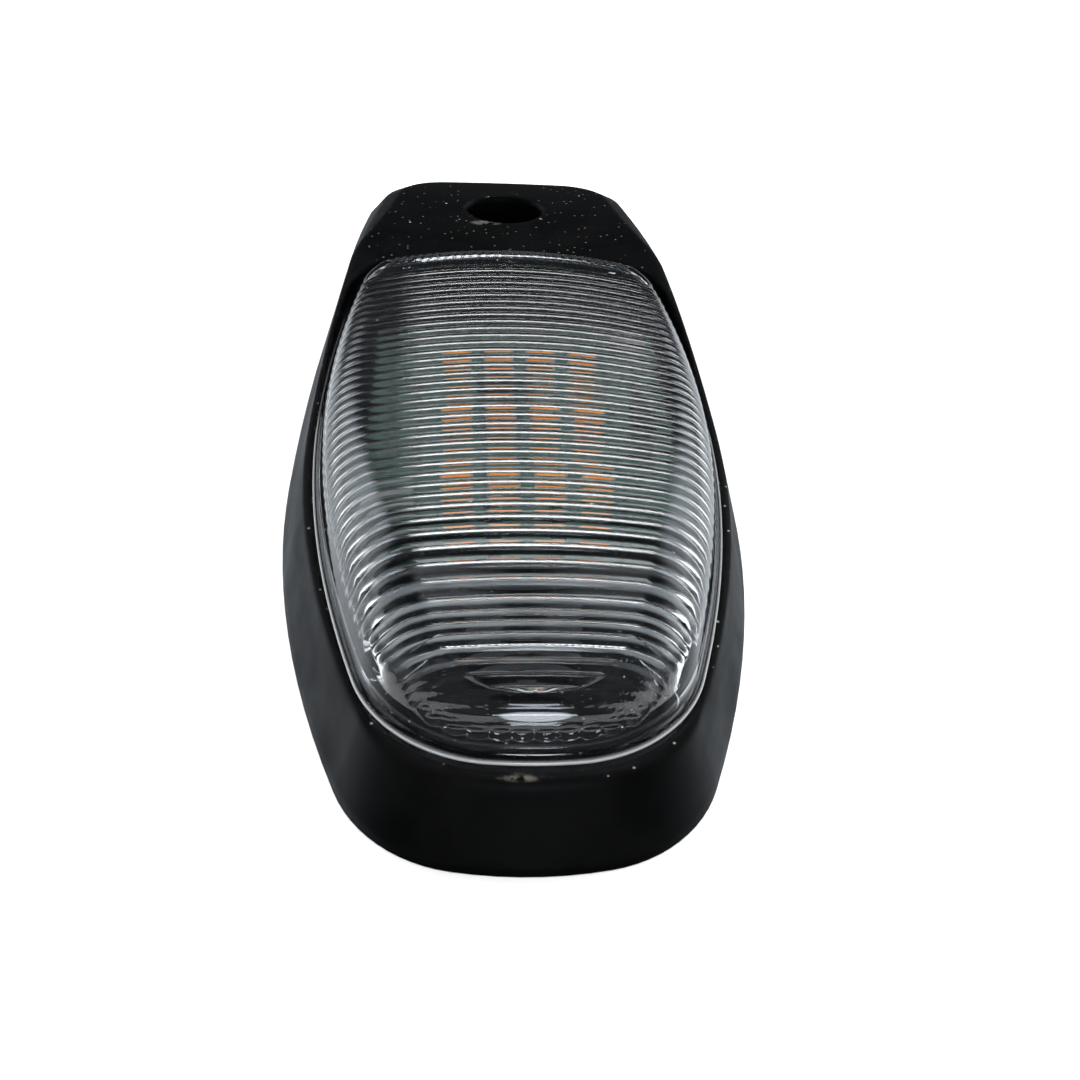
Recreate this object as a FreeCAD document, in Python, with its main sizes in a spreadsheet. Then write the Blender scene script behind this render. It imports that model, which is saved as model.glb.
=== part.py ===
"""Roof marker lamp: black moulded housing with a rear screw lug, and a clear fluted lens over an LED board.

Frame: millimetres, +Z up. The origin is under the middle of the lamp, on the face it is mounted by.
-Y is the rounded front end, +Y the screw lug. The lamp is symmetric about X = 0, apart from its board.
"""
import FreeCAD, Part
import math
import os
import Sketcher
from FreeCAD import Vector

ORIGIN_POINT = (-1, 1)
Y_AXIS = -2
UP = Vector(0, 0, 1)

SIZES = [
    # Outline of the housing where it meets the roof
    ("body_front", -66.0), ("body_rear", 66.0), ("body_half_width", 28.0), ("body_waist", -9.0),
    ("body_nose_radius", 42.0), ("body_corner_radius", 15.0), ("body_side_radius", 124.0),
    ("body_flank_radius", 450.0), ("body_heel_radius", 15.0), ("body_end_radius", 150.0),
    # Side view of the housing
    ("skirt_draft", 18.0), ("rim_height", 9.5), ("lug_height", 14.2), ("lug_crest", 30.0),
    ("lug_profile_radius", 150.0),
    # Soft upper edge of the lug: two flats through one outline on a plane that slopes down to the rear
    ("lug_round_height", 18.1), ("lug_round_tilt", 7.24), ("lug_round_inset", 5.15), ("lug_round_rise", 2.0),
    ("lug_lower_flat", 42.0), ("lug_upper_flat", 66.0),
    # Outline of the lens at the housing rim
    ("lens_front", -60.9), ("lens_rear", 26.2), ("lens_half_width", 23.6), ("lens_waist", -8.0),
    ("lens_nose_radius", 46.0), ("lens_corner_radius", 14.5), ("lens_side_radius", 135.0),
    ("lens_flank_radius", 200.0), ("lens_heel_radius", 8.0), ("lens_end_radius", 200.0),
    # Lens section
    ("lens_bottom", 6.4), ("lens_wall_foot", 9.2), ("lens_draft", 13.0), ("lens_wall", 2.0),
    ("tongue_wall", 1.8), ("lens_top", 22.0), ("lens_apex", -40.0), ("lens_dip_radius", 30.0),
    ("lens_top_rear", 17.7), ("lens_crown_radius", 80.0), ("lens_shoulder_radius", 6.5),
    # Flutes inside the lens
    ("flute_start", 18.0), ("flute_turn", -49.3), ("flute_end", -57.4), ("flutes_on_top", 36),
    ("flutes_on_nose", 8), ("flute_height", 0.5), ("flute_base", 12.4), ("flute_step", 0.05),
    # Seat of the lens in the housing
    ("seat_gap", 0.25), ("seat_front_gap", 0.8), ("seat_height", 7.4), ("tongue_gap", 0.2),
    ("groove_floor", 5.2), ("seat_wall", 1.2),
    # Floor and underside
    ("floor_bottom", 2.2), ("floor_top", 4.2), ("skirt_wall", 2.5), ("gasket_gap", 0.4),
    # Screw lug
    ("screw_position", 44.5), ("screw_hole_radius", 2.75), ("counterbore_radius", 5.9),
    ("counterbore_floor", 7.5), ("boss_radius", 8.4), ("lug_core_top", 9.0), ("lug_core_front", 31.0),
    ("lug_core_rear", 57.0), ("lug_core_half_width", 15.0),
    # Lead inlet in the floor
    ("inlet_position", -41.0), ("inlet_radius", 4.5), ("grommet_flange_radius", 6.0),
    ("grommet_flange", 1.4), ("grommet_bore_radius", 2.5),
    # Circuit board, its posts and screws
    ("board_middle_x", 0.55), ("board_middle_y", -13.1), ("board_width", 34.1), ("board_depth", 39.0),
    ("board_bottom", 6.4), ("board_thickness", 1.6), ("post_radius", 2.6),
    ("post_inset", 3.2), ("pilot_radius", 0.9), ("pilot_floor", 3.0), ("board_hole_radius", 1.35),
    ("board_screw_head_radius", 2.2), ("board_screw_head", 1.3), ("board_screw_depth", 4.2),
    ("board_screw_radius", 0.88),
    # LED packages
    ("led_middle_x", 0.8), ("led_pitch_x", 5.0), ("led_first_y", -2.2), ("led_pitch_y", 12.5),
    ("led_width", 3.5), ("led_depth", 2.8), ("led_thickness", 0.8), ("led_cup_width", 3.0),
    ("led_cup_depth", 2.3), ("led_cup_floor", 0.3), ("led_fill", 0.4),
    # Chip parts and lead terminals
    ("chip_cap_length", 0.5), ("chip_cap_step", 0.05),
    ("resistor_length", 3.2), ("resistor_width", 1.6), ("resistor_height", 0.6), ("resistor_left_x", -11.2),
    ("resistor_right_x", 14.2), ("resistor_front_y", -20.7), ("resistor_rear_y", -7.7),
    ("capacitor_length", 3.2), ("capacitor_width", 2.5), ("capacitor_height", 1.6), ("capacitor_x", 8.5),
    ("capacitor_y", -8.4),
    ("diode_x", 14.4), ("diode_y", -14.3), ("diode_width", 2.6), ("diode_length", 4.3), ("diode_height", 2.0),
    ("diode_stand", 0.1), ("diode_strap_width", 1.4), ("diode_strap_length", 1.0),
    ("diode_strap_height", 1.0),
    ("driver_x", -1.2), ("driver_y", -8.4), ("driver_width", 6.5), ("driver_depth", 3.5),
    ("driver_height", 1.6), ("driver_stand", 0.08), ("driver_leg_width", 0.7), ("driver_leg_length", 0.9),
    ("driver_leg_height", 0.3), ("driver_leg_pitch", 2.3), ("driver_tab_width", 3.0),
    ("terminal_spread", 3.4), ("terminal_y", -31.3), ("terminal_radius", 0.8), ("terminal_height", 2.0),
]
LED_COLUMNS = 4
LED_ROWS = 3
# How far a cutting shape reaches past what it cuts
CLEAR = 10
NOSE_CLEAR = 3
# The round shoulder of the lens is three flats: reach of the middle flat and of the two beside it,
# as shares of the radius that they stand for
MIDDLE_FLAT = 0.33
SIDE_FLAT = 0.14
# Angle through which the crowned top of the lens is turned
CROWN_TURN = 60
# Chords that stand for the shoulder and crown arcs inside the lens
SHOULDER_CHORDS = 2
CROWN_CHORDS = 4
# Inside the lens, how far the fluted core sinks into the plain band below it
CORE_OVERLAP = 0.4
# Where the inside narrows towards its ends, the most that its shoulder takes of its height and half-width,
# and how that round is tried smaller until it fits
SHOULDER_OF_HEIGHT = 0.8
SHOULDER_OF_WIDTH = 0.7
SMALLEST_ROUND = 0.05
NEXT_ROUND = 0.9
# Plain sections between the rear end of the inside and the first flute, as shares of that stretch
PLAIN_SECTIONS = (0.0, 0.2, 0.5)

TOROID = "Part::GeomToroid"
CONE = "Part::GeomCone"
CYLINDER = "Part::GeomCylinder"
RULED = "Part::GeomBSplineSurface"

doc = FreeCAD.newDocument("marker_lamp")
sheet = doc.addObject("Spreadsheet::Sheet", "Sizes")
for row, (alias, number) in enumerate(SIZES, start=1):
    sheet.set("A%d" % row, alias)
    sheet.set("B%d" % row, str(number))
    sheet.setAlias("B%d" % row, alias)
doc.recompute()


class Dim:
    """A size: its number now, and the expression that ties it to the sheet."""

    def __init__(self, value, text):
        self.value = value
        self.text = text

    def __add__(self, other):
        other = as_dim(other)
        return Dim(self.value + other.value, "(%s + %s)" % (self.text, other.text))

    def __sub__(self, other):
        other = as_dim(other)
        return Dim(self.value - other.value, "(%s - %s)" % (self.text, other.text))

    def __mul__(self, factor):
        return Dim(self.value * factor, "(%s * %s)" % (self.text, factor))

    def __neg__(self):
        return self * -1


def as_dim(item):
    """A number, a cell's alias or a size, as a size."""
    if isinstance(item, Dim):
        return item
    if isinstance(item, str):
        return Dim(float(sheet.get(item)), "Sizes." + item)
    return Dim(float(item), str(item))


def size(alias):
    """Number held by a cell of the sheet."""
    return as_dim(alias).value


# Plan outlines: each is ten tangent arcs, of which one half is worked out here

ARC_NAMES = ("nose", "corner", "side", "flank", "heel", "end")


def outline_numbers(family, inset=0.0, further_front=0.0):
    """Driving numbers of an outline moved inwards by inset, its front end by further_front outwards."""
    numbers = {name: size("%s_%s_radius" % (family, name)) - inset for name in ARC_NAMES}
    numbers["front"] = size(family + "_front") + inset - further_front
    numbers["rear"] = size(family + "_rear") - inset
    numbers["half_width"] = size(family + "_half_width") - inset
    numbers["waist"] = size(family + "_waist")
    return numbers


def inner_circle(first, first_reach, second, second_reach, upper):
    """Centre at given distances from two centres; upper picks the crossing with the larger Y."""
    span = second - first
    along = (first_reach ** 2 - second_reach ** 2 + span.Length ** 2) / (2 * span.Length)
    across = math.sqrt(first_reach ** 2 - along ** 2)
    unit = span / span.Length
    foot = first + unit * along
    normal = Vector(-unit.y, unit.x, 0)
    choices = sorted((foot + normal * across, foot - normal * across), key=lambda point: point.y)
    return choices[1] if upper else choices[0]


def outline_arcs(numbers):
    """Right half of an outline as (centre, radius, start angle, end angle), from the front to the rear."""
    nose = Vector(0, numbers["front"] + numbers["nose"], 0)
    end = Vector(0, numbers["rear"] - numbers["end"], 0)
    side = Vector(numbers["half_width"] - numbers["side"], numbers["waist"], 0)
    flank = Vector(numbers["half_width"] - numbers["flank"], numbers["waist"], 0)
    corner = inner_circle(nose, numbers["nose"] - numbers["corner"],
                          side, numbers["side"] - numbers["corner"], False)
    heel = inner_circle(end, numbers["end"] - numbers["heel"],
                        flank, numbers["flank"] - numbers["heel"], True)

    def angle(start, finish):
        return math.atan2(finish.y - start.y, finish.x - start.x)

    turns = [-math.pi / 2, angle(nose, corner), angle(side, corner), 0.0,
             angle(flank, heel), angle(end, heel), math.pi / 2]
    centres = [nose, corner, side, flank, heel, end]
    return [(centre, numbers[name], turns[i], turns[i + 1])
            for i, (centre, name) in enumerate(zip(centres, ARC_NAMES))]


def full_outline(numbers):
    """Whole outline, anticlockwise from the nose: one arc over each end and four along each side."""
    right = outline_arcs(numbers)
    left = [(Vector(-centre.x, centre.y, 0), radius, math.pi - stop, math.pi - start)
            for centre, radius, start, stop in reversed(right)]
    nose = (right[0][0], right[0][1], -math.pi - right[0][3], right[0][3])
    end = (right[-1][0], right[-1][1], right[-1][2], math.pi - right[-1][2])
    return [nose] + right[1:-1] + [end] + left[1:-1]


def outline_wire(numbers, height):
    """Closed wire of an outline at a height."""
    edges = []
    for centre, radius, start, stop in full_outline(numbers):
        circle = Part.Circle(Vector(centre.x, centre.y, height), UP, radius)
        edges.append(Part.ArcOfCircle(circle, start, stop).toShape())
    return Part.Wire(edges)


def half_width_at(arcs, y):
    """Half-width of an outline at a place along the lamp."""
    for centre, radius, start, stop in arcs:
        if centre.y + radius * math.sin(start) <= y <= centre.y + radius * math.sin(stop):
            return centre.x + math.sqrt(max(radius ** 2 - (y - centre.y) ** 2, 0.0))
    raise ValueError("no outline at y = %g" % y)


# Bodies, sketches and features

def new_body(name):
    """Empty body with a name of its own."""
    body = doc.addObject("PartDesign::Body", name)
    body.Label = name
    return body


def new_sketch(body, name, plane="XY_Plane", height=0):
    """Sketch on one of the body's own origin planes, at a height above it."""
    sketch = body.newObject("Sketcher::SketchObject", name)
    support = [feature for feature in body.Origin.OriginFeatures if feature.Role == plane]
    sketch.AttachmentSupport = [(support[0], "")]
    sketch.MapMode = "FlatFace"
    sketch.setExpression("AttachmentOffset.Base.z", as_dim(height).text)
    return sketch


def bind(sketch, kind, item, *refs):
    """Dimension of a sketch, driven by the sheet."""
    dim = as_dim(item)
    index = sketch.addConstraint(Sketcher.Constraint(kind, *refs, dim.value))
    sketch.setExpression("Constraints[%d]" % index, dim.text)


def bind_point(sketch, geometry, position, x, y):
    """Place of a sketch point, driven by the sheet."""
    bind(sketch, "DistanceX", x, *ORIGIN_POINT, geometry, position)
    bind(sketch, "DistanceY", y, *ORIGIN_POINT, geometry, position)


def draw_outline(sketch, family, inset=0, further_front=0):
    """Plan outline of ten tangent arcs, moved inwards by inset."""
    inset = as_dim(inset)
    further_front = as_dim(further_front)
    first = sketch.GeometryCount
    for centre, radius, start, stop in full_outline(
            outline_numbers(family, inset.value, further_front.value)):
        sketch.addGeometry(Part.ArcOfCircle(Part.Circle(centre, UP, radius), start, stop))
    arcs = [first + i for i in range(10)]
    for arc, following in zip(arcs, arcs[1:] + arcs[:1]):
        sketch.addConstraint(Sketcher.Constraint("Tangent", arc, 2, following, 1))
    for arc, name in zip(arcs, ARC_NAMES + ARC_NAMES[-2:0:-1]):
        bind(sketch, "Radius", as_dim("%s_%s_radius" % (family, name)) - inset, arc)
    nose, right_side, right_flank, end = arcs[0], arcs[2], arcs[3], arcs[5]
    left_flank, left_side = arcs[7], arcs[8]
    for arc in (nose, end):
        sketch.addConstraint(Sketcher.Constraint("PointOnObject", arc, 3, Y_AXIS))
    nose_centre = as_dim(family + "_front") + family_dim(family, "nose_radius") - further_front
    end_centre = as_dim(family + "_rear") - family_dim(family, "end_radius")
    bind(sketch, "DistanceY", nose_centre, *ORIGIN_POINT, nose, 3)
    bind(sketch, "DistanceY", end_centre, *ORIGIN_POINT, end, 3)
    side_centre = family_dim(family, "half_width") - family_dim(family, "side_radius")
    bind_point(sketch, right_side, 3, side_centre, family + "_waist")
    bind_point(sketch, left_side, 3, -side_centre, family + "_waist")
    for arc in (right_flank, left_flank):
        bind(sketch, "DistanceY", family + "_waist", *ORIGIN_POINT, arc, 3)


def family_dim(family, name):
    """A size of one outline family."""
    return as_dim("%s_%s" % (family, name))


def draw_circle(sketch, radius, x=0, y=0):
    """Circle with its centre and radius bound to the sheet."""
    x, y, radius = as_dim(x), as_dim(y), as_dim(radius)
    circle = sketch.addGeometry(Part.Circle(Vector(x.value, y.value, 0), UP, radius.value))
    bind(sketch, "Radius", radius, circle)
    bind_point(sketch, circle, 3, x, y)


def draw_polygon(sketch, points):
    """Closed polygon with each corner bound to the sheet."""
    points = [(as_dim(x), as_dim(y)) for x, y in points]
    first = sketch.GeometryCount
    count = len(points)
    for i in range(count):
        start, finish = points[i], points[(i + 1) % count]
        sketch.addGeometry(Part.LineSegment(Vector(start[0].value, start[1].value, 0),
                                            Vector(finish[0].value, finish[1].value, 0)))
    for i in range(count):
        sketch.addConstraint(Sketcher.Constraint("Coincident", first + i, 2, first + (i + 1) % count, 1))
        bind_point(sketch, first + i, 1, *points[i])


def draw_rectangle(sketch, left, right, front, rear):
    """Rectangle with its sides bound to the sheet."""
    draw_polygon(sketch, [(left, front), (right, front), (right, rear), (left, rear)])


def grow(body, kind, name, sketch, length, reverse=False, symmetric=False, taper=None):
    """Pad or pocket of a sketch; it has to change the volume."""
    before = body.Shape.Volume if body.Tip else 0.0
    feature = body.newObject("PartDesign::" + kind, name)
    feature.Profile = sketch
    feature.Reversed = reverse
    feature.Refine = False
    feature.SideType = "Symmetric" if symmetric else "One side"
    feature.setExpression("Length", as_dim(length).text)
    if taper:
        feature.setExpression("TaperAngle", as_dim(taper).text)
    doc.recompute()
    if abs(body.Shape.Volume - before) < 0.01:
        raise RuntimeError("%s changes nothing" % name)
    return feature


def turn(body, kind, name, sketch, axis, angle=360):
    """Revolution or groove of a sketch, half of its angle to each side."""
    feature = body.newObject("PartDesign::" + kind, name)
    feature.Profile = sketch
    feature.ReferenceAxis = axis
    feature.Midplane = True
    feature.Angle = angle
    doc.recompute()
    return feature


def edges_between(shape, first_kind, second_kind):
    """Names of the edges where surfaces of two kinds meet."""
    names = []
    for number, edge in enumerate(shape.Edges, start=1):
        kinds = [face.Surface.TypeId for face in shape.ancestorsOfType(edge, Part.Face)]
        if sorted(kinds) == sorted((first_kind, second_kind)):
            names.append("Edge%d" % number)
    return names


def flatten(body, name, base, edges, reach):
    """Chamfer that reaches equally far on both sides of its edges."""
    feature = body.newObject("PartDesign::Chamfer", name)
    feature.Base = (base, edges)
    feature.setExpression("Size", as_dim(reach).text)
    doc.recompute()
    return feature


# Housing

def draw_above_housing(sketch):
    """Region above the housing in side view: it leaves a level rim that swells into the crowned lug."""
    radius = size("lug_profile_radius")
    crest = size("lug_crest")
    rim = size("rim_height")
    half_turn = math.acos(1 - (size("lug_height") - rim) / (2 * radius))
    rise_start = crest - 2 * radius * math.sin(half_turn)
    front = as_dim("body_front") - CLEAR
    rear = as_dim("body_rear") + CLEAR
    high = as_dim("lug_height") + CLEAR
    hollow = Vector(rise_start, rim + radius, 0)
    hill = Vector(crest, size("lug_height") - radius, 0)
    down, up = -math.pi / 2, math.pi / 2
    rear_turn = math.acos((rear.value - crest) / radius)
    geometry = [
        Part.LineSegment(Vector(front.value, rim, 0), Vector(rise_start, rim, 0)),
        Part.ArcOfCircle(Part.Circle(hollow, UP, radius), down, down + half_turn),
        Part.ArcOfCircle(Part.Circle(hill, UP, radius), rear_turn, up + half_turn),
    ]
    corners = [geometry[-1].StartPoint, Vector(rear.value, high.value, 0),
               Vector(front.value, high.value, 0), geometry[0].StartPoint]
    for start, stop in zip(corners[:-1], corners[1:]):
        geometry.append(Part.LineSegment(start, stop))
    sketch.addGeometry(geometry)
    rim_line, hollow_arc, hill_arc, rear_line, top_line, front_line = range(6)
    sketch.addConstraint([
        Sketcher.Constraint("Horizontal", rim_line),
        Sketcher.Constraint("Tangent", rim_line, 2, hollow_arc, 1),
        Sketcher.Constraint("Tangent", hollow_arc, 2, hill_arc, 2),
        Sketcher.Constraint("Coincident", hill_arc, 1, rear_line, 1),
        Sketcher.Constraint("Coincident", rear_line, 2, top_line, 1),
        Sketcher.Constraint("Coincident", top_line, 2, front_line, 1),
        Sketcher.Constraint("Coincident", front_line, 2, rim_line, 1),
        Sketcher.Constraint("Vertical", rear_line),
        Sketcher.Constraint("Horizontal", top_line),
        Sketcher.Constraint("Vertical", front_line),
    ])
    bind(sketch, "Radius", "lug_profile_radius", hollow_arc)
    bind(sketch, "Radius", "lug_profile_radius", hill_arc)
    bind_point(sketch, hill_arc, 3, "lug_crest", as_dim("lug_height") - "lug_profile_radius")
    bind_point(sketch, rim_line, 1, front, "rim_height")
    bind_point(sketch, top_line, 1, rear, high)


def post_places():
    """Places of the four board posts, each with the sides of the board that it stands near."""
    reach_x = as_dim("board_width") * 0.5 - "post_inset"
    reach_y = as_dim("board_depth") * 0.5 - "post_inset"
    return [(side_x, side_y, as_dim("board_middle_x") + reach_x * side_x,
             as_dim("board_middle_y") + reach_y * side_y)
            for side_y in (-1, 1) for side_x in (-1, 1)]


def screwed_posts():
    """The two posts, on one diagonal, that take a screw."""
    return [place for place in post_places() if place[0] == place[1]]


def draw_at_posts(sketch, radius, places):
    """Circles at some of the board posts."""
    for _, _, x, y in places:
        draw_circle(sketch, radius, x, y)


def build_lug_round():
    """Two drafted blocks that trim the lug's upper edge; they fade out where the lens begins."""
    plan = doc.addObject("Sketcher::SketchObject", "lug_round_plan")
    plan.Placement = FreeCAD.Placement(Vector(0, 0, size("lug_round_height")),
                                       FreeCAD.Rotation(Vector(-1, 0, 0), size("lug_round_tilt")))
    plan.setExpression("Placement.Base.z", "Sizes.lug_round_height")
    plan.setExpression("Placement.Rotation.Angle", "Sizes.lug_round_tilt")
    draw_outline(plan, "body", "lug_round_inset")
    blocks = []
    for name in ("lug_lower_flat", "lug_upper_flat"):
        item = doc.addObject("Part::Extrusion", name)
        item.Base = plan
        item.DirMode = "Normal"
        item.Solid = True
        item.setExpression("LengthFwd", "Sizes.lug_round_rise")
        item.setExpression("LengthRev", "Sizes.lug_round_height * 2")
        item.setExpression("TaperAngle", "-Sizes." + name)
        item.setExpression("TaperAngleRev", "Sizes." + name)
        blocks.append(item)
    return blocks


def build_housing():
    """Moulded shell: drafted skirt, lens seat and groove, floor with posts, cored lug with its boss."""
    body = new_body("housing_shell")
    plan = new_sketch(body, "housing_plan")
    draw_outline(plan, "body")
    grow(body, "Pad", "skirt", plan, as_dim("lug_height") + 2, taper=-as_dim("skirt_draft"))
    above = new_sketch(body, "housing_top", "YZ_Plane")
    draw_above_housing(above)
    grow(body, "Pocket", "top_form", above, as_dim("body_half_width") * 4, symmetric=True)

    groove = new_sketch(body, "groove_plan", height="groove_floor")
    draw_outline(groove, "lens", -as_dim("seat_gap"), as_dim("seat_front_gap") - "seat_gap")
    grow(body, "Pocket", "lens_groove", groove, "lug_height", reverse=True)
    wall = new_sketch(body, "seat_wall_plan", height="groove_floor")
    draw_outline(wall, "lens", as_dim("lens_wall") + "tongue_gap")
    grow(body, "Pad", "seat_wall", wall, as_dim("seat_height") - "groove_floor")
    cavity = new_sketch(body, "cavity_plan", height="floor_top")
    draw_outline(cavity, "lens", as_dim("lens_wall") + "tongue_gap" + "seat_wall")
    grow(body, "Pocket", "cavity", cavity, "lug_height", reverse=True)

    recess = new_sketch(body, "recess_plan")
    draw_outline(recess, "body", "skirt_wall")
    grow(body, "Pocket", "gasket_recess", recess, "floor_bottom", reverse=True)
    core = new_sketch(body, "lug_core_plan")
    draw_rectangle(core, -as_dim("lug_core_half_width"), "lug_core_half_width",
                   "lug_core_front", "lug_core_rear")
    grow(body, "Pocket", "lug_core", core, "lug_core_top", reverse=True)
    boss = new_sketch(body, "boss_plan")
    draw_circle(boss, "boss_radius", y="screw_position")
    grow(body, "Pad", "screw_boss", boss, as_dim("lug_core_top") + 1)

    posts = new_sketch(body, "post_plan", height="floor_top")
    draw_at_posts(posts, "post_radius", post_places())
    grow(body, "Pad", "board_posts", posts, as_dim("board_bottom") - "floor_top")
    pilots = new_sketch(body, "pilot_plan", height="pilot_floor")
    draw_at_posts(pilots, "pilot_radius", screwed_posts())
    grow(body, "Pocket", "post_pilots", pilots, "board_bottom", reverse=True)

    hole = new_sketch(body, "screw_plan")
    draw_circle(hole, "screw_hole_radius", y="screw_position")
    grow(body, "Pocket", "screw_hole", hole, as_dim("lug_height") * 2, reverse=True)
    counterbore = new_sketch(body, "counterbore_plan", height="counterbore_floor")
    draw_circle(counterbore, "counterbore_radius", y="screw_position")
    grow(body, "Pocket", "counterbore", counterbore, "lug_height", reverse=True)
    inlet = new_sketch(body, "inlet_plan")
    draw_circle(inlet, "inlet_radius", y="inlet_position")
    grow(body, "Pocket", "lead_inlet", inlet, as_dim("floor_top") + 1, reverse=True)

    housing = doc.addObject("Part::MultiCommon", "housing")
    housing.Label = "housing"
    housing.Shapes = [body] + build_lug_round()
    return housing


# Lens

def top_slope():
    """Angle by which the straight top of the lens falls to the rear, touching the dip over the nose."""
    radius = size("lens_dip_radius")
    along = size("lens_rear") - size("lens_apex")
    above = size("lens_top_rear") - size("lens_top") + radius
    return math.asin(radius / math.hypot(along, above)) - math.atan2(above, along)


def draw_above_lens(sketch):
    """Region above the lens in side view, with the axis that its crowned top is turned about."""
    front = as_dim("lens_front") - NOSE_CLEAR
    rear = as_dim("lens_rear") + CLEAR
    high = as_dim("lens_top") + CLEAR
    radius = size("lens_dip_radius")
    centre = Vector(size("lens_apex"), size("lens_top") - radius, 0)
    slope = top_slope()
    fall = Vector(math.cos(slope), -math.sin(slope), 0)
    upward = Vector(math.sin(slope), math.cos(slope), 0)
    touch = centre + upward * radius
    top_end = touch + fall * ((rear.value - touch.x) / fall.x)
    drop = upward * size("lens_crown_radius")
    dip_end = math.acos((front.value - centre.x) / radius)
    dip = Part.ArcOfCircle(Part.Circle(centre, UP, radius), math.pi / 2 - slope, dip_end)
    corners = [dip.EndPoint, Vector(front.value, high.value, 0), Vector(rear.value, high.value, 0), top_end]
    geometry = [Part.LineSegment(top_end, touch), dip]
    for start, stop in zip(corners[:-1], corners[1:]):
        geometry.append(Part.LineSegment(start, stop))
    sketch.addGeometry(geometry)
    rear_point = Vector(size("lens_rear"), size("lens_top_rear"), 0)
    sketch.addGeometry([Part.LineSegment(top_end - drop, touch - drop), Part.Point(rear_point)], True)
    top_line, dip_arc, front_line, high_line, rear_line, axis_line, rear_mark = range(7)
    sketch.addConstraint([
        Sketcher.Constraint("Tangent", top_line, 2, dip_arc, 1),
        Sketcher.Constraint("Coincident", dip_arc, 2, front_line, 1),
        Sketcher.Constraint("Coincident", front_line, 2, high_line, 1),
        Sketcher.Constraint("Coincident", high_line, 2, rear_line, 1),
        Sketcher.Constraint("Coincident", rear_line, 2, top_line, 1),
        Sketcher.Constraint("PointOnObject", rear_mark, 1, top_line),
        Sketcher.Constraint("Parallel", axis_line, top_line),
    ])
    bind(sketch, "Radius", "lens_dip_radius", dip_arc)
    bind_point(sketch, dip_arc, 3, "lens_apex", as_dim("lens_top") - "lens_dip_radius")
    bind_point(sketch, rear_mark, 1, "lens_rear", "lens_top_rear")
    bind(sketch, "DistanceX", front, *ORIGIN_POINT, front_line, 1)
    bind(sketch, "DistanceX", rear, *ORIGIN_POINT, rear_line, 2)
    bind_point(sketch, high_line, 1, front, high)
    bind_point(sketch, high_line, 2, rear, high)
    bind(sketch, "Distance", "lens_crown_radius", axis_line, 1, top_line)
    bind(sketch, "DistanceX", "lens_rear", *ORIGIN_POINT, axis_line, 1)
    bind(sketch, "DistanceX", "lens_front", *ORIGIN_POINT, axis_line, 2)


def build_lens_blank():
    """Outside of the lens, solid: straight tongue, drafted wall, crowned top and a soft shoulder."""
    body = new_body("lens_blank")
    tongue = new_sketch(body, "tongue_plan", height="lens_bottom")
    draw_outline(tongue, "lens")
    grow(body, "Pad", "tongue", tongue, as_dim("lens_wall_foot") - "lens_bottom")
    wall = new_sketch(body, "wall_plan", height="lens_wall_foot")
    draw_outline(wall, "lens")
    grow(body, "Pad", "drafted_wall", wall, as_dim("lens_top") - "lens_wall_foot" + 2,
         taper=-as_dim("lens_draft"))

    above = new_sketch(body, "lens_top_form", "YZ_Plane")
    draw_above_lens(above)
    crowned = turn(body, "Groove", "crowned_top", above, (above, ["Axis0"]), angle=CROWN_TURN)

    radius = as_dim("lens_shoulder_radius")
    blank = crowned.Shape
    shoulder = edges_between(blank, TOROID, CONE) + edges_between(blank, CYLINDER, CONE)
    shoulder = [name for name in shoulder if blank.getElement(name).CenterOfMass.z > size("flute_base")]
    middle = flatten(body, "middle_flat", crowned, shoulder, radius * MIDDLE_FLAT)
    beside = [name for kind in (TOROID, CYLINDER, CONE) for name in edges_between(middle.Shape, RULED, kind)]
    flatten(body, "side_flats", middle, beside, radius * SIDE_FLAT)
    return body


def inner_top(y):
    """Height of the smooth inside of the lens on its middle line."""
    wall = size("lens_wall")
    slope = top_slope()
    inside_radius = size("lens_dip_radius") - wall
    centre_y = size("lens_apex")
    centre_z = size("lens_top") - size("lens_dip_radius")
    turn_y = centre_y + inside_radius * math.sin(slope)
    if y < turn_y:
        return centre_z + math.sqrt(inside_radius ** 2 - (y - centre_y) ** 2)
    draft = math.radians(size("lens_draft"))
    shoulder = size("lens_shoulder_radius") - wall
    height = centre_z + inside_radius * math.cos(slope) - (y - turn_y) * math.tan(slope)
    rear_wall = size("lens_rear") - wall - (height - shoulder - size("lens_wall_foot")) * math.tan(draft)
    centre = rear_wall - shoulder / math.cos(draft)
    if y > centre:
        height -= shoulder - math.sqrt(shoulder ** 2 - min(y - centre, shoulder) ** 2)
    return height


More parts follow.
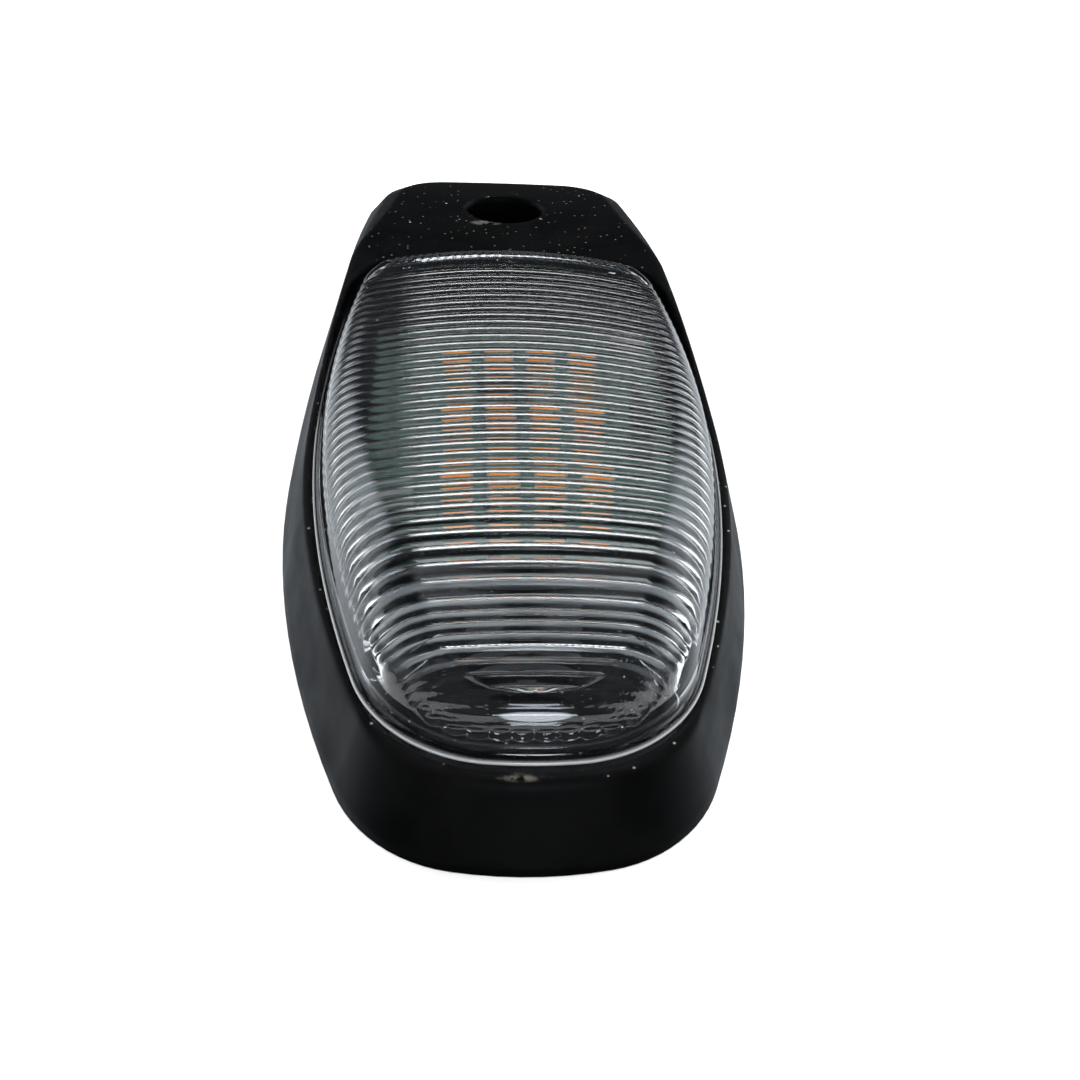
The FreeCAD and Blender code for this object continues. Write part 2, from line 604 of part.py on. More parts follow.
def arch_wire(y, inset):
    """Cross-section of the lens inside, above the plain band, moved inwards by inset.

    Two drafted wall lines, the chords of two shoulder arcs and of a crown arc, closed by a base line.
    """
    draft = math.radians(size("lens_draft"))
    slope = math.tan(draft)
    base = size("flute_base") - CORE_OVERLAP
    crown = size("lens_crown_radius") - size("lens_wall")
    arcs = outline_arcs(outline_numbers("lens", size("lens_wall") + (base - size("lens_wall_foot")) * slope))
    half = half_width_at(arcs, y) - inset
    top = inner_top(y) - inset
    crown_centre = top - crown
    radius = min(size("lens_shoulder_radius") - size("lens_wall"), SHOULDER_OF_HEIGHT * (top - base),
                 SHOULDER_OF_WIDTH * half)
    while True:
        reach = half + base * slope - radius / math.cos(draft)
        square = 1 + slope ** 2
        middle = reach * slope + crown_centre
        rest = reach ** 2 + crown_centre ** 2 - (crown - radius) ** 2
        centre_z = (middle + math.sqrt(middle ** 2 - square * rest)) / square
        centre_x = reach - slope * centre_z
        if centre_z + radius * math.sin(draft) > base + SMALLEST_ROUND or radius < SMALLEST_ROUND:
            break
        radius *= NEXT_ROUND
    lean = math.atan2(centre_z - crown_centre, centre_x)

    right = [(half, base)]
    for i in range(SHOULDER_CHORDS + 1):
        angle = draft + (lean - draft) * i / SHOULDER_CHORDS
        right.append((centre_x + radius * math.cos(angle), centre_z + radius * math.sin(angle)))
    for i in range(1, CROWN_CHORDS // 2):
        angle = lean + (math.pi / 2 - lean) * i / (CROWN_CHORDS // 2)
        right.append((crown * math.cos(angle), crown_centre + crown * math.sin(angle)))
    left = [(-x, z) for x, z in reversed(right)]
    corners = [Vector(x, y, z) for x, z in right + [(0.0, top)] + left]
    return Part.makePolygon(corners + corners[:1])


def flute_sections():
    """Places along the lens and how far the inside stands in there: a ridge between each two valleys."""
    valley = size("flute_step")
    ridge = valley + size("flute_height")
    top_pitch = (size("flute_start") - size("flute_turn")) / size("flutes_on_top")
    nose_pitch = (size("flute_turn") - size("flute_end")) / size("flutes_on_nose")
    pitches = [top_pitch] * int(size("flutes_on_top")) + [nose_pitch] * int(size("flutes_on_nose"))
    rear_end = size("lens_rear") - size("lens_wall") - size("lens_shoulder_radius") / 3
    sections = [(rear_end - share * (rear_end - size("flute_start")), valley) for share in PLAIN_SECTIONS]
    y = size("flute_start")
    for pitch in pitches:
        sections.append((y, valley))
        sections.append((y - pitch / 2, ridge))
        y -= pitch
    sections.append((y, valley))
    return sections


def build_lens():
    """Clear cover: the blank with its inside taken out, a plain band below and flutes above."""
    blank = build_lens_blank()
    base = size("flute_base")
    below = size("lens_bottom") - CORE_OVERLAP
    narrowing = (base - size("lens_wall_foot")) * math.tan(math.radians(size("lens_draft")))
    band_foot = outline_numbers("lens", size("tongue_wall"))
    band_top = outline_numbers("lens", size("lens_wall") + narrowing)
    band = Part.makeLoft([outline_wire(band_foot, below), outline_wire(band_top, base)], True, True)
    arches = [arch_wire(y, inset) for y, inset in flute_sections()]
    fluted = Part.makeLoft(arches, True, True)
    core = doc.addObject("Part::Feature", "lens_core")
    core.Shape = band.fuse(fluted)
    lens = doc.addObject("Part::Cut", "lens")
    lens.Label = "lens"
    lens.Base = blank
    lens.Tool = core
    return lens


# Seal, gasket and lead inlet

def build_lens_seal():
    """Rubber ring under the tongue of the lens."""
    body = new_body("lens_seal")
    ring = new_sketch(body, "seal_plan", height="groove_floor")
    draw_outline(ring, "lens")
    draw_outline(ring, "lens", "lens_wall")
    grow(body, "Pad", "seal_ring", ring, as_dim("lens_bottom") - "groove_floor")
    return body


def build_base_gasket():
    """Foam pad that fills the recess of the underside, cut out round the boss and the inlet."""
    body = new_body("base_gasket")
    plan = new_sketch(body, "gasket_plan")
    draw_outline(plan, "body", as_dim("skirt_wall") + "gasket_gap")
    draw_circle(plan, as_dim("boss_radius") + "gasket_gap", y="screw_position")
    draw_circle(plan, as_dim("inlet_radius") + "gasket_gap", y="inlet_position")
    grow(body, "Pad", "gasket_sheet", plan, "floor_bottom")
    return body


def build_lead_grommet():
    """Rubber inlet for the supply lead: a neck through the floor under a flange, turned about its bore."""
    body = new_body("lead_grommet")
    body.setExpression("Placement.Base.y", "Sizes.inlet_position")
    section = new_sketch(body, "grommet_section", "XZ_Plane")
    bottom = as_dim("floor_bottom") - "grommet_flange"
    top = as_dim("floor_top") + "grommet_flange"
    draw_polygon(section, [
        ("grommet_bore_radius", bottom), ("inlet_radius", bottom), ("inlet_radius", "floor_top"),
        ("grommet_flange_radius", "floor_top"), ("grommet_flange_radius", top), ("grommet_bore_radius", top),
    ])
    turn(body, "Revolution", "grommet_turn", section, (section, ["V_Axis"]))
    return body


# Circuit board and what it carries

def board_top():
    """Height of the component side of the board."""
    return as_dim("board_bottom") + "board_thickness"


def build_board():
    """Circuit board with its two screw holes."""
    body = new_body("led_board")
    half_width = as_dim("board_width") * 0.5
    half_depth = as_dim("board_depth") * 0.5
    plan = new_sketch(body, "board_plan", height="board_bottom")
    draw_rectangle(plan, as_dim("board_middle_x") - half_width, as_dim("board_middle_x") + half_width,
                   as_dim("board_middle_y") - half_depth, as_dim("board_middle_y") + half_depth)
    draw_at_posts(plan, "board_hole_radius", screwed_posts())
    grow(body, "Pad", "board_panel", plan, "board_thickness")
    return body


def block(name, x, y, bottom, width, depth, height):
    """Box standing on a height, with its middle at a place."""
    item = doc.addObject("Part::Box", name)
    item.Label = name
    x, y, bottom, width, depth = (as_dim(value) for value in (x, y, bottom, width, depth))
    item.setExpression("Length", width.text)
    item.setExpression("Width", depth.text)
    item.setExpression("Height", as_dim(height).text)
    item.setExpression("Placement.Base.x", (x - width * 0.5).text)
    item.setExpression("Placement.Base.y", (y - depth * 0.5).text)
    item.setExpression("Placement.Base.z", bottom.text)
    return item


def joined(name, members):
    """One solid of several overlapping or touching ones."""
    item = doc.addObject("Part::MultiFuse", name)
    item.Label = name
    item.Shapes = members
    return item


def build_leds():
    """LED packages in rows and columns, each with a cup and the phosphor that fills it."""
    pieces = []
    for row in range(LED_ROWS):
        for column in range(LED_COLUMNS):
            number = row * LED_COLUMNS + column + 1
            x = as_dim("led_middle_x") + as_dim("led_pitch_x") * (column - (LED_COLUMNS - 1) / 2)
            y = as_dim("led_first_y") - as_dim("led_pitch_y") * row
            shell = block("led_shell_%d" % number, x, y, board_top(), "led_width", "led_depth",
                          "led_thickness")
            cup = block("led_cup_%d" % number, x, y, board_top() + "led_cup_floor", "led_cup_width",
                        "led_cup_depth", "led_thickness")
            package = doc.addObject("Part::Cut", "led_%d" % number)
            package.Label = "led_%d" % number
            package.Base = shell
            package.Tool = cup
            phosphor = block("led_phosphor_%d" % number, x, y, board_top() + "led_cup_floor",
                             "led_cup_width", "led_cup_depth", "led_fill")
            pieces += [package, phosphor]
    return pieces


def build_chip(name, x, y, size_name, turned=False):
    """Ceramic chip part: a block with a slightly larger metal cap over each end."""
    length = as_dim(size_name + "_length")
    width = as_dim(size_name + "_width")
    height = as_dim(size_name + "_height")
    cap = as_dim("chip_cap_length")
    step = as_dim("chip_cap_step")
    shift = (length - cap) * 0.5

    def place(label, offset, along, across, tall):
        if turned:
            return block(label, x, as_dim(y) + offset, board_top(), across, along, tall)
        return block(label, as_dim(x) + offset, y, board_top(), along, across, tall)

    caps = [place("%s_cap_%d" % (name, i + 1), shift * side, cap, width, height)
            for i, side in enumerate((-1, 1))]
    middle = place(name + "_middle", as_dim(0), length - cap, width - step * 2, height - step)
    return joined(name, [middle] + caps)


def build_diode():
    """Moulded diode with a folded strap under each end."""
    x, y = "diode_x", "diode_y"
    moulding = block("diode_moulding", x, y, board_top() + "diode_stand", "diode_width", "diode_length",
                     "diode_height")
    straps = [block("diode_strap_%d" % (i + 1), x, as_dim(y) + as_dim("diode_length") * (0.5 * side),
                    board_top(), "diode_strap_width", "diode_strap_length", "diode_strap_height")
              for i, side in enumerate((-1, 1))]
    return joined("protection_diode", [moulding] + straps)


def build_driver():
    """Small current driver: a moulding with three legs on one side and a broad tab on the other."""
    x, y = "driver_x", "driver_y"
    moulding = block("driver_moulding", x, y, board_top() + "driver_stand", "driver_width", "driver_depth",
                     "driver_height")
    reach = (as_dim("driver_depth") + "driver_leg_length") * 0.5
    members = [moulding]
    for i in range(3):
        members.append(block("driver_leg_%d" % (i + 1), as_dim(x) + as_dim("driver_leg_pitch") * (i - 1),
                             as_dim(y) - reach, board_top(), "driver_leg_width",
                             as_dim("driver_leg_length") * 1.5, "driver_leg_height"))
    members.append(block("driver_tab", x, as_dim(y) + reach, board_top(), "driver_tab_width",
                         as_dim("driver_leg_length") * 1.5, "driver_leg_height"))
    return joined("current_driver", members)


def build_terminals():
    """Two solder pins at the front edge of the board, one for each core of the lead."""
    pieces = []
    for i, side in enumerate((-1, 1)):
        pin = doc.addObject("Part::Cylinder", "lead_terminal_%d" % (i + 1))
        pin.Label = "lead_terminal_%d" % (i + 1)
        pin.setExpression("Radius", "Sizes.terminal_radius")
        pin.setExpression("Height", "Sizes.terminal_height")
        x = as_dim("board_middle_x") + as_dim("terminal_spread") * side
        pin.setExpression("Placement.Base.x", x.text)
        pin.setExpression("Placement.Base.y", "Sizes.terminal_y")
        pin.setExpression("Placement.Base.z", board_top().text)
        pieces.append(pin)
    return pieces


def build_board_screws():
    """Two pan-head screws through the board into its posts, as one group."""
    solids = []
    for i, (_, _, x, y) in enumerate(screwed_posts()):
        body = new_body("board_screw_%d" % (i + 1))
        body.setExpression("Placement.Base.x", x.text)
        body.setExpression("Placement.Base.y", y.text)
        body.setExpression("Placement.Base.z", board_top().text)
        section = new_sketch(body, "screw_section_%d" % (i + 1), "XZ_Plane")
        draw_polygon(section, [
            (0, -as_dim("board_screw_depth")), ("board_screw_radius", -as_dim("board_screw_depth")),
            ("board_screw_radius", 0), ("board_screw_head_radius", 0),
            ("board_screw_head_radius", "board_screw_head"), (0, "board_screw_head"),
        ])
        turn(body, "Revolution", "screw_turn_%d" % (i + 1), section, (section, ["V_Axis"]))
        solids.append(body)
    group = doc.addObject("Part::Compound", "board_screws")
    group.Label = "board_screws"
    group.Links = solids
    return group


def build_board_parts():
    """Everything on the board apart from the LED packages."""
    pieces = [build_board(), build_diode(), build_driver(), build_board_screws()]
    places = [(x, y) for x in ("resistor_left_x", "resistor_right_x")
              for y in ("resistor_front_y", "resistor_rear_y")]
    for i, (x, y) in enumerate(places):
        pieces.append(build_chip("resistor_%d" % (i + 1), x, y, "resistor", turned=True))
    pieces.append(build_chip("filter_capacitor", "capacitor_x", "capacitor_y", "capacitor"))
    return pieces + build_terminals()


def main():
    """Build every piece, check it and write it out."""
    pieces = [build_housing(), build_lens(), build_lens_seal(), build_base_gasket(), build_lead_grommet()]
    pieces += build_board_parts()
    pieces += build_leds()
    doc.recompute()
    for item in doc.Objects:
        if "Invalid" in item.State or "Error" in item.State:
            raise RuntimeError("%s failed" % item.Label)
    os.makedirs("parts", exist_ok=True)
    for piece in pieces:
        shape = piece.Shape
        if shape.isNull() or not shape.isValid() or not shape.Solids:
            raise RuntimeError("%s is not a valid solid" % piece.Label)
    for piece in pieces:
        piece.Shape.exportStep("parts/%s.step" % piece.Label)
        print(piece.Label, len(piece.Shape.Solids), "solid, volume", round(piece.Shape.Volume, 2))


main()
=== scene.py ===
"""Looks of the roof marker lamp: fluted clear lens, satin black housing, circuit board, studio and camera."""
import math

import bpy
import numpy as np
from mathutils import Matrix, Vector


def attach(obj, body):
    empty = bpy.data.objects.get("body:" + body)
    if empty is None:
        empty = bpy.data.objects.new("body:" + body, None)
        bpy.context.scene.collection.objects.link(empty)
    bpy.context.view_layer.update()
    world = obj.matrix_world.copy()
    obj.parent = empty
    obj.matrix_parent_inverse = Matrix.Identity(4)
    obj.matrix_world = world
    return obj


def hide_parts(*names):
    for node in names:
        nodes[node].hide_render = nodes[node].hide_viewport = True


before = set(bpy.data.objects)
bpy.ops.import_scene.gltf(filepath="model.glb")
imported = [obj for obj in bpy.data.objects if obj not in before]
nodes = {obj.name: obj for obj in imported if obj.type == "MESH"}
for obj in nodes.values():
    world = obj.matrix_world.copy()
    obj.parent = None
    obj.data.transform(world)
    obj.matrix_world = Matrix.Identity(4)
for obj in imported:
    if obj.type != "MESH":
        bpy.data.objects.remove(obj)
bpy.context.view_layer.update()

MM = 0.001

# Outline of the lens at the housing rim, in millimetres: front, rear, half-width, waist and arc radii
LENS_FRONT = -60.9
LENS_REAR = 26.2
LENS_HALF_WIDTH = 23.6
LENS_WAIST = -8.0
NOSE_RADIUS = 46.0
CORNER_RADIUS = 14.5
SIDE_RADIUS = 135.0
FLANK_RADIUS = 200.0
HEEL_RADIUS = 8.0
END_RADIUS = 200.0

# Section of the lens
LENS_BOTTOM = 6.4
WALL_FOOT = 9.2
WALL_SLOPE = math.tan(math.radians(13.0))
WALL_THICKNESS = 2.0
LENS_TOP = 22.0
LENS_APEX = -40.0
TOP_AT_REAR = 17.7
DIP_RADIUS = 30.0
CROWN_RADIUS = 80.0
SHOULDER_FRONT = (-30.0, 7.5)
SHOULDER_REAR = (15.0, 5.0)
BEAD_HEIGHT = 9.9
BEAD_RADIUS = 0.3

# Sizes of the outline normal's Y where the way inwards leaves the straight-across one, and where it is square
ACROSS_UNTIL = 0.45
SQUARE_FROM = 0.8

# Sizes of the outline normal's Y where the wall starts to count as facing forwards, and where it fully does
FRONT_FROM = 0.5
FRONT_FULL = 0.95

# Flutes on the inside of the lens
FLUTE_START = 18.0
FLUTE_TURN = -49.3
FLUTE_END = -57.4
FLUTES_ON_TOP = 36
FLUTES_ON_NOSE = 8
FLUTE_HEIGHT = 0.42
PILLOW_POWER = 3
FLUTE_BASE = 13.6
FLUTE_TIP = 1.1
TIP_CURVE = 0.5
SINK_SHARE = 0.04
NOSE_SHARE = 0.28
LEDGE_HEIGHT = 0.12
FRONT_DROP = 2.8
SCALLOP_PITCH = 2.0

# How finely the lens is meshed
STEPS_PER_FLUTE = 10
END_STEP = 0.25
CROSS_STEPS = 28
BEAD_STEPS = 6
OUTER_STEPS = {"wall_steps": 4, "round_steps": 9}
INNER_STEPS = {"wall_steps": 12, "round_steps": 12}
HEIGHT_ROUNDS = 4
CORNER_ROUNDS = 12
SLOPE_STEP = 0.2


# Lens mesh

def inner_circle(first, first_reach, second, second_reach, upper):
    """Centre at given distances from two centres; upper picks the crossing with the larger Y."""
    span = second - first
    length = np.linalg.norm(span)
    along = (first_reach ** 2 - second_reach ** 2 + length ** 2) / (2 * length)
    across = math.sqrt(first_reach ** 2 - along ** 2)
    unit = span / length
    foot = first + unit * along
    normal = np.array([-unit[1], unit[0]])
    choices = sorted((foot + normal * across, foot - normal * across), key=lambda point: point[1])
    return choices[1] if upper else choices[0]


def half_outline():
    """Right half of the lens outline, front to rear: (centre, radius, start, end) of each arc."""
    nose = np.array([0.0, LENS_FRONT + NOSE_RADIUS])
    end = np.array([0.0, LENS_REAR - END_RADIUS])
    side = np.array([LENS_HALF_WIDTH - SIDE_RADIUS, LENS_WAIST])
    flank = np.array([LENS_HALF_WIDTH - FLANK_RADIUS, LENS_WAIST])
    corner = inner_circle(nose, NOSE_RADIUS - CORNER_RADIUS, side, SIDE_RADIUS - CORNER_RADIUS, False)
    heel = inner_circle(end, END_RADIUS - HEEL_RADIUS, flank, FLANK_RADIUS - HEEL_RADIUS, True)

    def angle(start, finish):
        return math.atan2(finish[1] - start[1], finish[0] - start[0])

    turns = [-math.pi / 2, angle(nose, corner), angle(side, corner), 0.0,
             angle(flank, heel), angle(end, heel), math.pi / 2]
    centres = [nose, corner, side, flank, heel, end]
    radii = [NOSE_RADIUS, CORNER_RADIUS, SIDE_RADIUS, FLANK_RADIUS, HEEL_RADIUS, END_RADIUS]
    return [(centres[i], radii[i], turns[i], turns[i + 1]) for i in range(len(radii))]


def outline_at_y(arcs, y):
    """Point and outward normal of the half outline where it crosses a place along the lens."""
    for centre, radius, start, stop in arcs:
        if centre[1] + radius * math.sin(start) <= y <= centre[1] + radius * math.sin(stop):
            turn = math.asin((y - centre[1]) / radius)
            normal = np.array([math.cos(turn), math.sin(turn)])
            return centre + radius * normal, normal
    raise ValueError("no outline at y = %g" % y)


def outline_by_length(arcs, step):
    """Points and outward normals along some arcs, about a step apart, in the middle of each step."""
    found = []
    for centre, radius, start, stop in arcs:
        count = max(int(round(radius * (stop - start) / step)), 1)
        for i in range(count):
            turn = start + (stop - start) * (i + 0.5) / count
            normal = np.array([math.cos(turn), math.sin(turn)])
            found.append((centre + radius * normal, normal))
    return found


def flute_rows():
    """Places along the lens where the flutes on its top are sampled, each flute with the same steps."""
    count = FLUTES_ON_TOP * STEPS_PER_FLUTE
    return [FLUTE_TURN + (FLUTE_START - FLUTE_TURN) * i / count for i in range(count + 1)]


def half_ring():
    """Points and normals of the right half: fine at both ends, one for each flute step between."""
    arcs = half_outline()
    rows = flute_rows()
    found = [item for item in outline_by_length(arcs, END_STEP) if item[0][1] < rows[0] - END_STEP / 2]
    found += [outline_at_y(arcs, y) for y in rows]
    found += [item for item in outline_by_length(arcs, END_STEP) if item[0][1] > rows[-1] + END_STEP / 2]
    return found


def top_axis():
    """Slope of the straight top, and the point of the axis it is turned about that lies under its start."""
    along = LENS_REAR - LENS_APEX
    above = TOP_AT_REAR - LENS_TOP + DIP_RADIUS
    slope = math.asin(DIP_RADIUS / math.hypot(along, above)) - math.atan2(above, along)
    reach = DIP_RADIUS - CROWN_RADIUS
    return slope, LENS_APEX + reach * math.sin(slope), LENS_TOP - DIP_RADIUS + reach * math.cos(slope)


TOP_SLOPE, AXIS_Y, AXIS_Z = top_axis()


def top_height(x, y, wall):
    """Height of the crowned top, or of the smooth inside a wall thickness below it."""
    sine, cosine = math.sin(TOP_SLOPE), math.cos(TOP_SLOPE)
    dip = DIP_RADIUS - wall
    across = y - AXIS_Y
    z = LENS_TOP
    for _ in range(HEIGHT_ROUNDS):
        along = across * cosine - (z - AXIS_Z) * sine
        reach = CROWN_RADIUS - wall
        if along < 0:
            reach += math.sqrt(max(dip ** 2 - along ** 2, 0.0)) - dip
        z = AXIS_Z + (math.sqrt(reach ** 2 - x ** 2) - across * sine) / cosine
    return z


def shoulder_radius(y, wall):
    """Round of the shoulder, softer at the front than at the rear."""
    share = (y - SHOULDER_FRONT[0]) / (SHOULDER_REAR[0] - SHOULDER_FRONT[0])
    share = min(max(share, 0.0), 1.0)
    return SHOULDER_FRONT[1] + (SHOULDER_REAR[1] - SHOULDER_FRONT[1]) * share - wall


def smooth_step(low, high, value):
    """0 below low, 1 above high, smooth between them."""
    share = min(max((value - low) / (high - low), 0.0), 1.0)
    return share * share * (3 - 2 * share)


def inward_direction(normal):
    """Horizontal way inwards: straight across along the sides, square to the outline round the ends."""
    blend = smooth_step(ACROSS_UNTIL, SQUARE_FROM, abs(normal[1]))
    across = np.array([-1.0, 0.0])
    direction = across * (1 - blend) - normal * blend
    return direction / -np.dot(direction, normal)


def section(point, normal, wall, wall_steps, round_steps):
    """Profile of the lens from its bottom edge over the shoulder, in the upright plane at an outline point.

    Each entry is (place, height, way in): the way in points from the surface into the cavity.
    """
    way = inward_direction(normal)

    def place(depth):
        return point + way * depth

    def top_at(depth):
        spot = place(depth)
        return top_height(spot[0], spot[1], wall)

    corner = wall
    for _ in range(CORNER_ROUNDS):
        corner = wall + (top_at(corner) - WALL_FOOT) * WALL_SLOPE
    height = top_at(corner)
    slope = (top_at(corner + SLOPE_STEP) - height) / SLOPE_STEP
    down = np.array([-WALL_SLOPE, -1.0]) / math.hypot(WALL_SLOPE, 1.0)
    inwards = np.array([1.0, slope]) / math.hypot(1.0, slope)
    opening = math.acos(np.dot(down, inwards))
    radius = shoulder_radius(point[1], wall)
    reach = radius / math.tan(opening / 2)
    tip = np.array([corner, height])
    middle = tip + (down + inwards) / np.linalg.norm(down + inwards) * radius / math.sin(opening / 2)
    low = tip + down * reach
    high = tip + inwards * reach

    flat_way = Vector((way[0], way[1], 0.0)).normalized()
    entries = [(wall, LENS_BOTTOM, flat_way), (wall, WALL_FOOT, flat_way)]
    if wall == 0.0:
        for turn in np.linspace(-math.pi / 2, math.pi / 2, BEAD_STEPS):
            z = BEAD_HEIGHT + BEAD_RADIUS * math.sin(turn)
            entries.append((-BEAD_RADIUS * math.cos(turn), z, flat_way))
    for z in np.linspace(BEAD_HEIGHT + BEAD_RADIUS, low[1], wall_steps):
        entries.append((wall + (z - WALL_FOOT) * WALL_SLOPE, z, flat_way))
    start = math.atan2(low[1] - middle[1], low[0] - middle[0]) % (2 * math.pi)
    stop = math.atan2(high[1] - middle[1], high[0] - middle[0]) % (2 * math.pi)
    for i in range(1, round_steps + 1):
        turn = start + (stop - start) * i / round_steps
        depth = middle[0] + radius * math.cos(turn)
        z = middle[1] + radius * math.sin(turn)
        if depth > corner:
            z += top_at(depth) - (height + slope * (depth - corner))
        way_in = flat_way * -math.cos(turn) + Vector((0.0, 0.0, -math.sin(turn)))
        entries.append((depth, z, way_in))
    return [(place(depth), z, way_in) for depth, z, way_in in entries]


def pillow(share):
    """Height of a pillow over its width, 1 in its middle and 0 in the valleys, and how near a valley is."""
    edge = abs(2 * (share % 1.0) - 1)
    return 1 - edge ** PILLOW_POWER, edge


def flute_depth(x, y, z, front):
    """How far a flute stands in from the smooth inside: pillows with sharp valleys and round tips.

    Along the lens the flutes lie straight across. Front says how far the wall faces forwards: there they
    run on down the wall, fade, and end in scallops.
    """
    down = (top_height(x, y, WALL_THICKNESS) - z) * front
    along = y - max(down, 0.0)
    _, scallop_edge = pillow(x / SCALLOP_PITCH)
    if along > FLUTE_START:
        return 0.0
    if along >= FLUTE_TURN:
        height, edge = pillow((FLUTE_START - along) / (FLUTE_START - FLUTE_TURN) * FLUTES_ON_TOP)
        height *= FLUTE_HEIGHT
    else:
        height, edge = pillow((FLUTE_TURN - along) / (FLUTE_TURN - FLUTE_END) * FLUTES_ON_NOSE)
        fade = smooth_step(FLUTE_END, FLUTE_TURN, along)
        height *= FLUTE_HEIGHT * (NOSE_SHARE + (1 - NOSE_SHARE) * fade)
        height += LEDGE_HEIGHT * front
        edge += (scallop_edge - edge) * front
    base = FLUTE_BASE - FRONT_DROP * front
    above = z - base - TIP_CURVE * FLUTE_TIP * edge ** 2
    tip = min(max(above / FLUTE_TIP, 0.0), 1.0)
    return height * math.sqrt(1 - (1 - tip) ** 2)


def shell(ring, wall, wall_steps, round_steps, fluted):
    """Grid points of one side of the lens: rings from the bottom edge up, then rows across the top."""
    share = 1.0 if fluted else SINK_SHARE
    columns = []
    for point, normal in ring:
        column = []
        front = smooth_step(FRONT_FROM, FRONT_FULL, -normal[1])
        for spot, z, way_in in section(point, normal, wall, wall_steps, round_steps):
            depth = flute_depth(spot[0], spot[1], z, front) * share
            column.append(Vector((spot[0], spot[1], z)) + way_in * depth)
        columns.append(column)
    rows = []
    for (point, normal), column in zip(ring, columns):
        edge = section(point, normal, wall, wall_steps, round_steps)[-1]
        across = []
        for i in range(1, CROSS_STEPS):
            x = edge[0][0] * (1 - 2 * i / CROSS_STEPS)
            y = edge[0][1]
            z = top_height(x, y, wall)
            depth = flute_depth(x, y, z, 0.0) * share
            across.append(Vector((x, y, z - depth)))
        rows.append(across)
    return columns, rows


def add_shell(vertices, faces, columns, rows, inside):
    """Add one side of the lens to a mesh; returns the indices of its bottom edge, right half then left."""
    def store(point):
        vertices.append(point * MM)
        return len(vertices) - 1

    def quad(a, b, c, d):
        faces.append((a, d, c, b) if inside else (a, b, c, d))

    right = [[store(point) for point in column] for column in columns]
    left = [[store(Vector((-point.x, point.y, point.z))) for point in column] for column in columns]
    middle = [[store(point) for point in row] for row in rows]
    loop = right + left[::-1]
    for i in range(len(loop)):
        here, following = loop[i], loop[(i + 1) % len(loop)]
        for j in range(len(here) - 1):
            quad(here[j], following[j], following[j + 1], here[j + 1])
    for i in range(len(rows) - 1):
        here = [right[i][-1]] + middle[i] + [left[i][-1]]
        following = [right[i + 1][-1]] + middle[i + 1] + [left[i + 1][-1]]
        for j in range(len(here) - 1):
            quad(here[j], following[j], following[j + 1], here[j + 1])
    for i in (0, len(rows) - 1):
        end_row = [right[i][-1]] + middle[i] + [left[i][-1]]
        faces.append(tuple(end_row if (i == 0) == inside else end_row[::-1]))
    return [column[0] for column in loop]


def build_lens():
    """Clear lens with rounded flutes, in place of the plainer solid."""
    ring = half_ring()
    vertices, faces = [], []
    outside = shell(ring, 0.0, fluted=False, **OUTER_STEPS)
    outer_edge = add_shell(vertices, faces, *outside, inside=False)
    outer_count = len(faces)
    inside = shell(ring, WALL_THICKNESS, fluted=True, **INNER_STEPS)
    inner_edge = add_shell(vertices, faces, *inside, inside=True)
    inner_count = len(faces)
    count = len(outer_edge)
    for i in range(count):
        following = (i + 1) % count
        faces.append((outer_edge[following], outer_edge[i], inner_edge[i], inner_edge[following]))
    mesh = bpy.data.meshes.new("clear_lens")
    mesh.from_pydata(vertices, [], faces)
    mesh.polygons.foreach_set("use_smooth", [True] * len(mesh.polygons))
    on_inside = [int(outer_count <= i < inner_count) for i in range(len(faces))]
    mesh.polygons.foreach_set("material_index", on_inside)
    mesh.validate()
    lens = bpy.data.objects.new("clear_lens", mesh)
    bpy.context.scene.collection.objects.link(lens)
    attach(lens, "root")
    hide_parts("lens")
    return lens


# Materials: colours are linear, places and sizes in millimetres, noise scales in features a metre

# Sockets of a mix node that carry colours
MIX_COLOURS = (6, 7)
MIX_RESULT = 2

NOISE_ROUGHNESS = 0.55
NOISE_RANGE = (0.3, 0.7)
BEVEL_SAMPLES = 6
UP_FROM = 0.5
UP_FULL = 0.9
OVAL_CORE = 0.4
DOT_CORE = 0.5
FINE_RELIEF = 0.03

HOUSING_CLOUD = {"scale": 140.0, "detail": 3.0}
HOUSING_CLOUD_RANGE = (0.35, 0.65)
HOUSING_BLACKS = ((0.0008, 0.0008, 0.0009), (0.0018, 0.0018, 0.0019))
HOUSING_ROUGHNESS = (0.42, 0.56)
HOUSING_SPECULAR = 0.17
HOUSING_GRAIN = {"scale": 5200.0, "detail": 2.0}
HOUSING_GRAIN_STRENGTH = 0.18
HOUSING_GRAIN_HEIGHT = 0.04
HOUSING_EDGE_ROUND = 1.6

# Dust: cells a metre, reach of a dot in its cell, share of the cells that have one
COARSE_DUST = {"scale": 420.0, "size": 0.085, "share": 0.30}
RIM_DUST = {"scale": 950.0, "size": 0.17, "share": 0.5}
LENS_DUST = {"scale": 520.0, "size": 0.075, "share": 0.16}
LENS_DUST_SOLID = 0.6
RIM_DUST_HEIGHTS = (10.5, 9.0)
RIM_DUST_ABOVE = 0.25
DUST_COLOUR = (0.36, 0.35, 0.33)

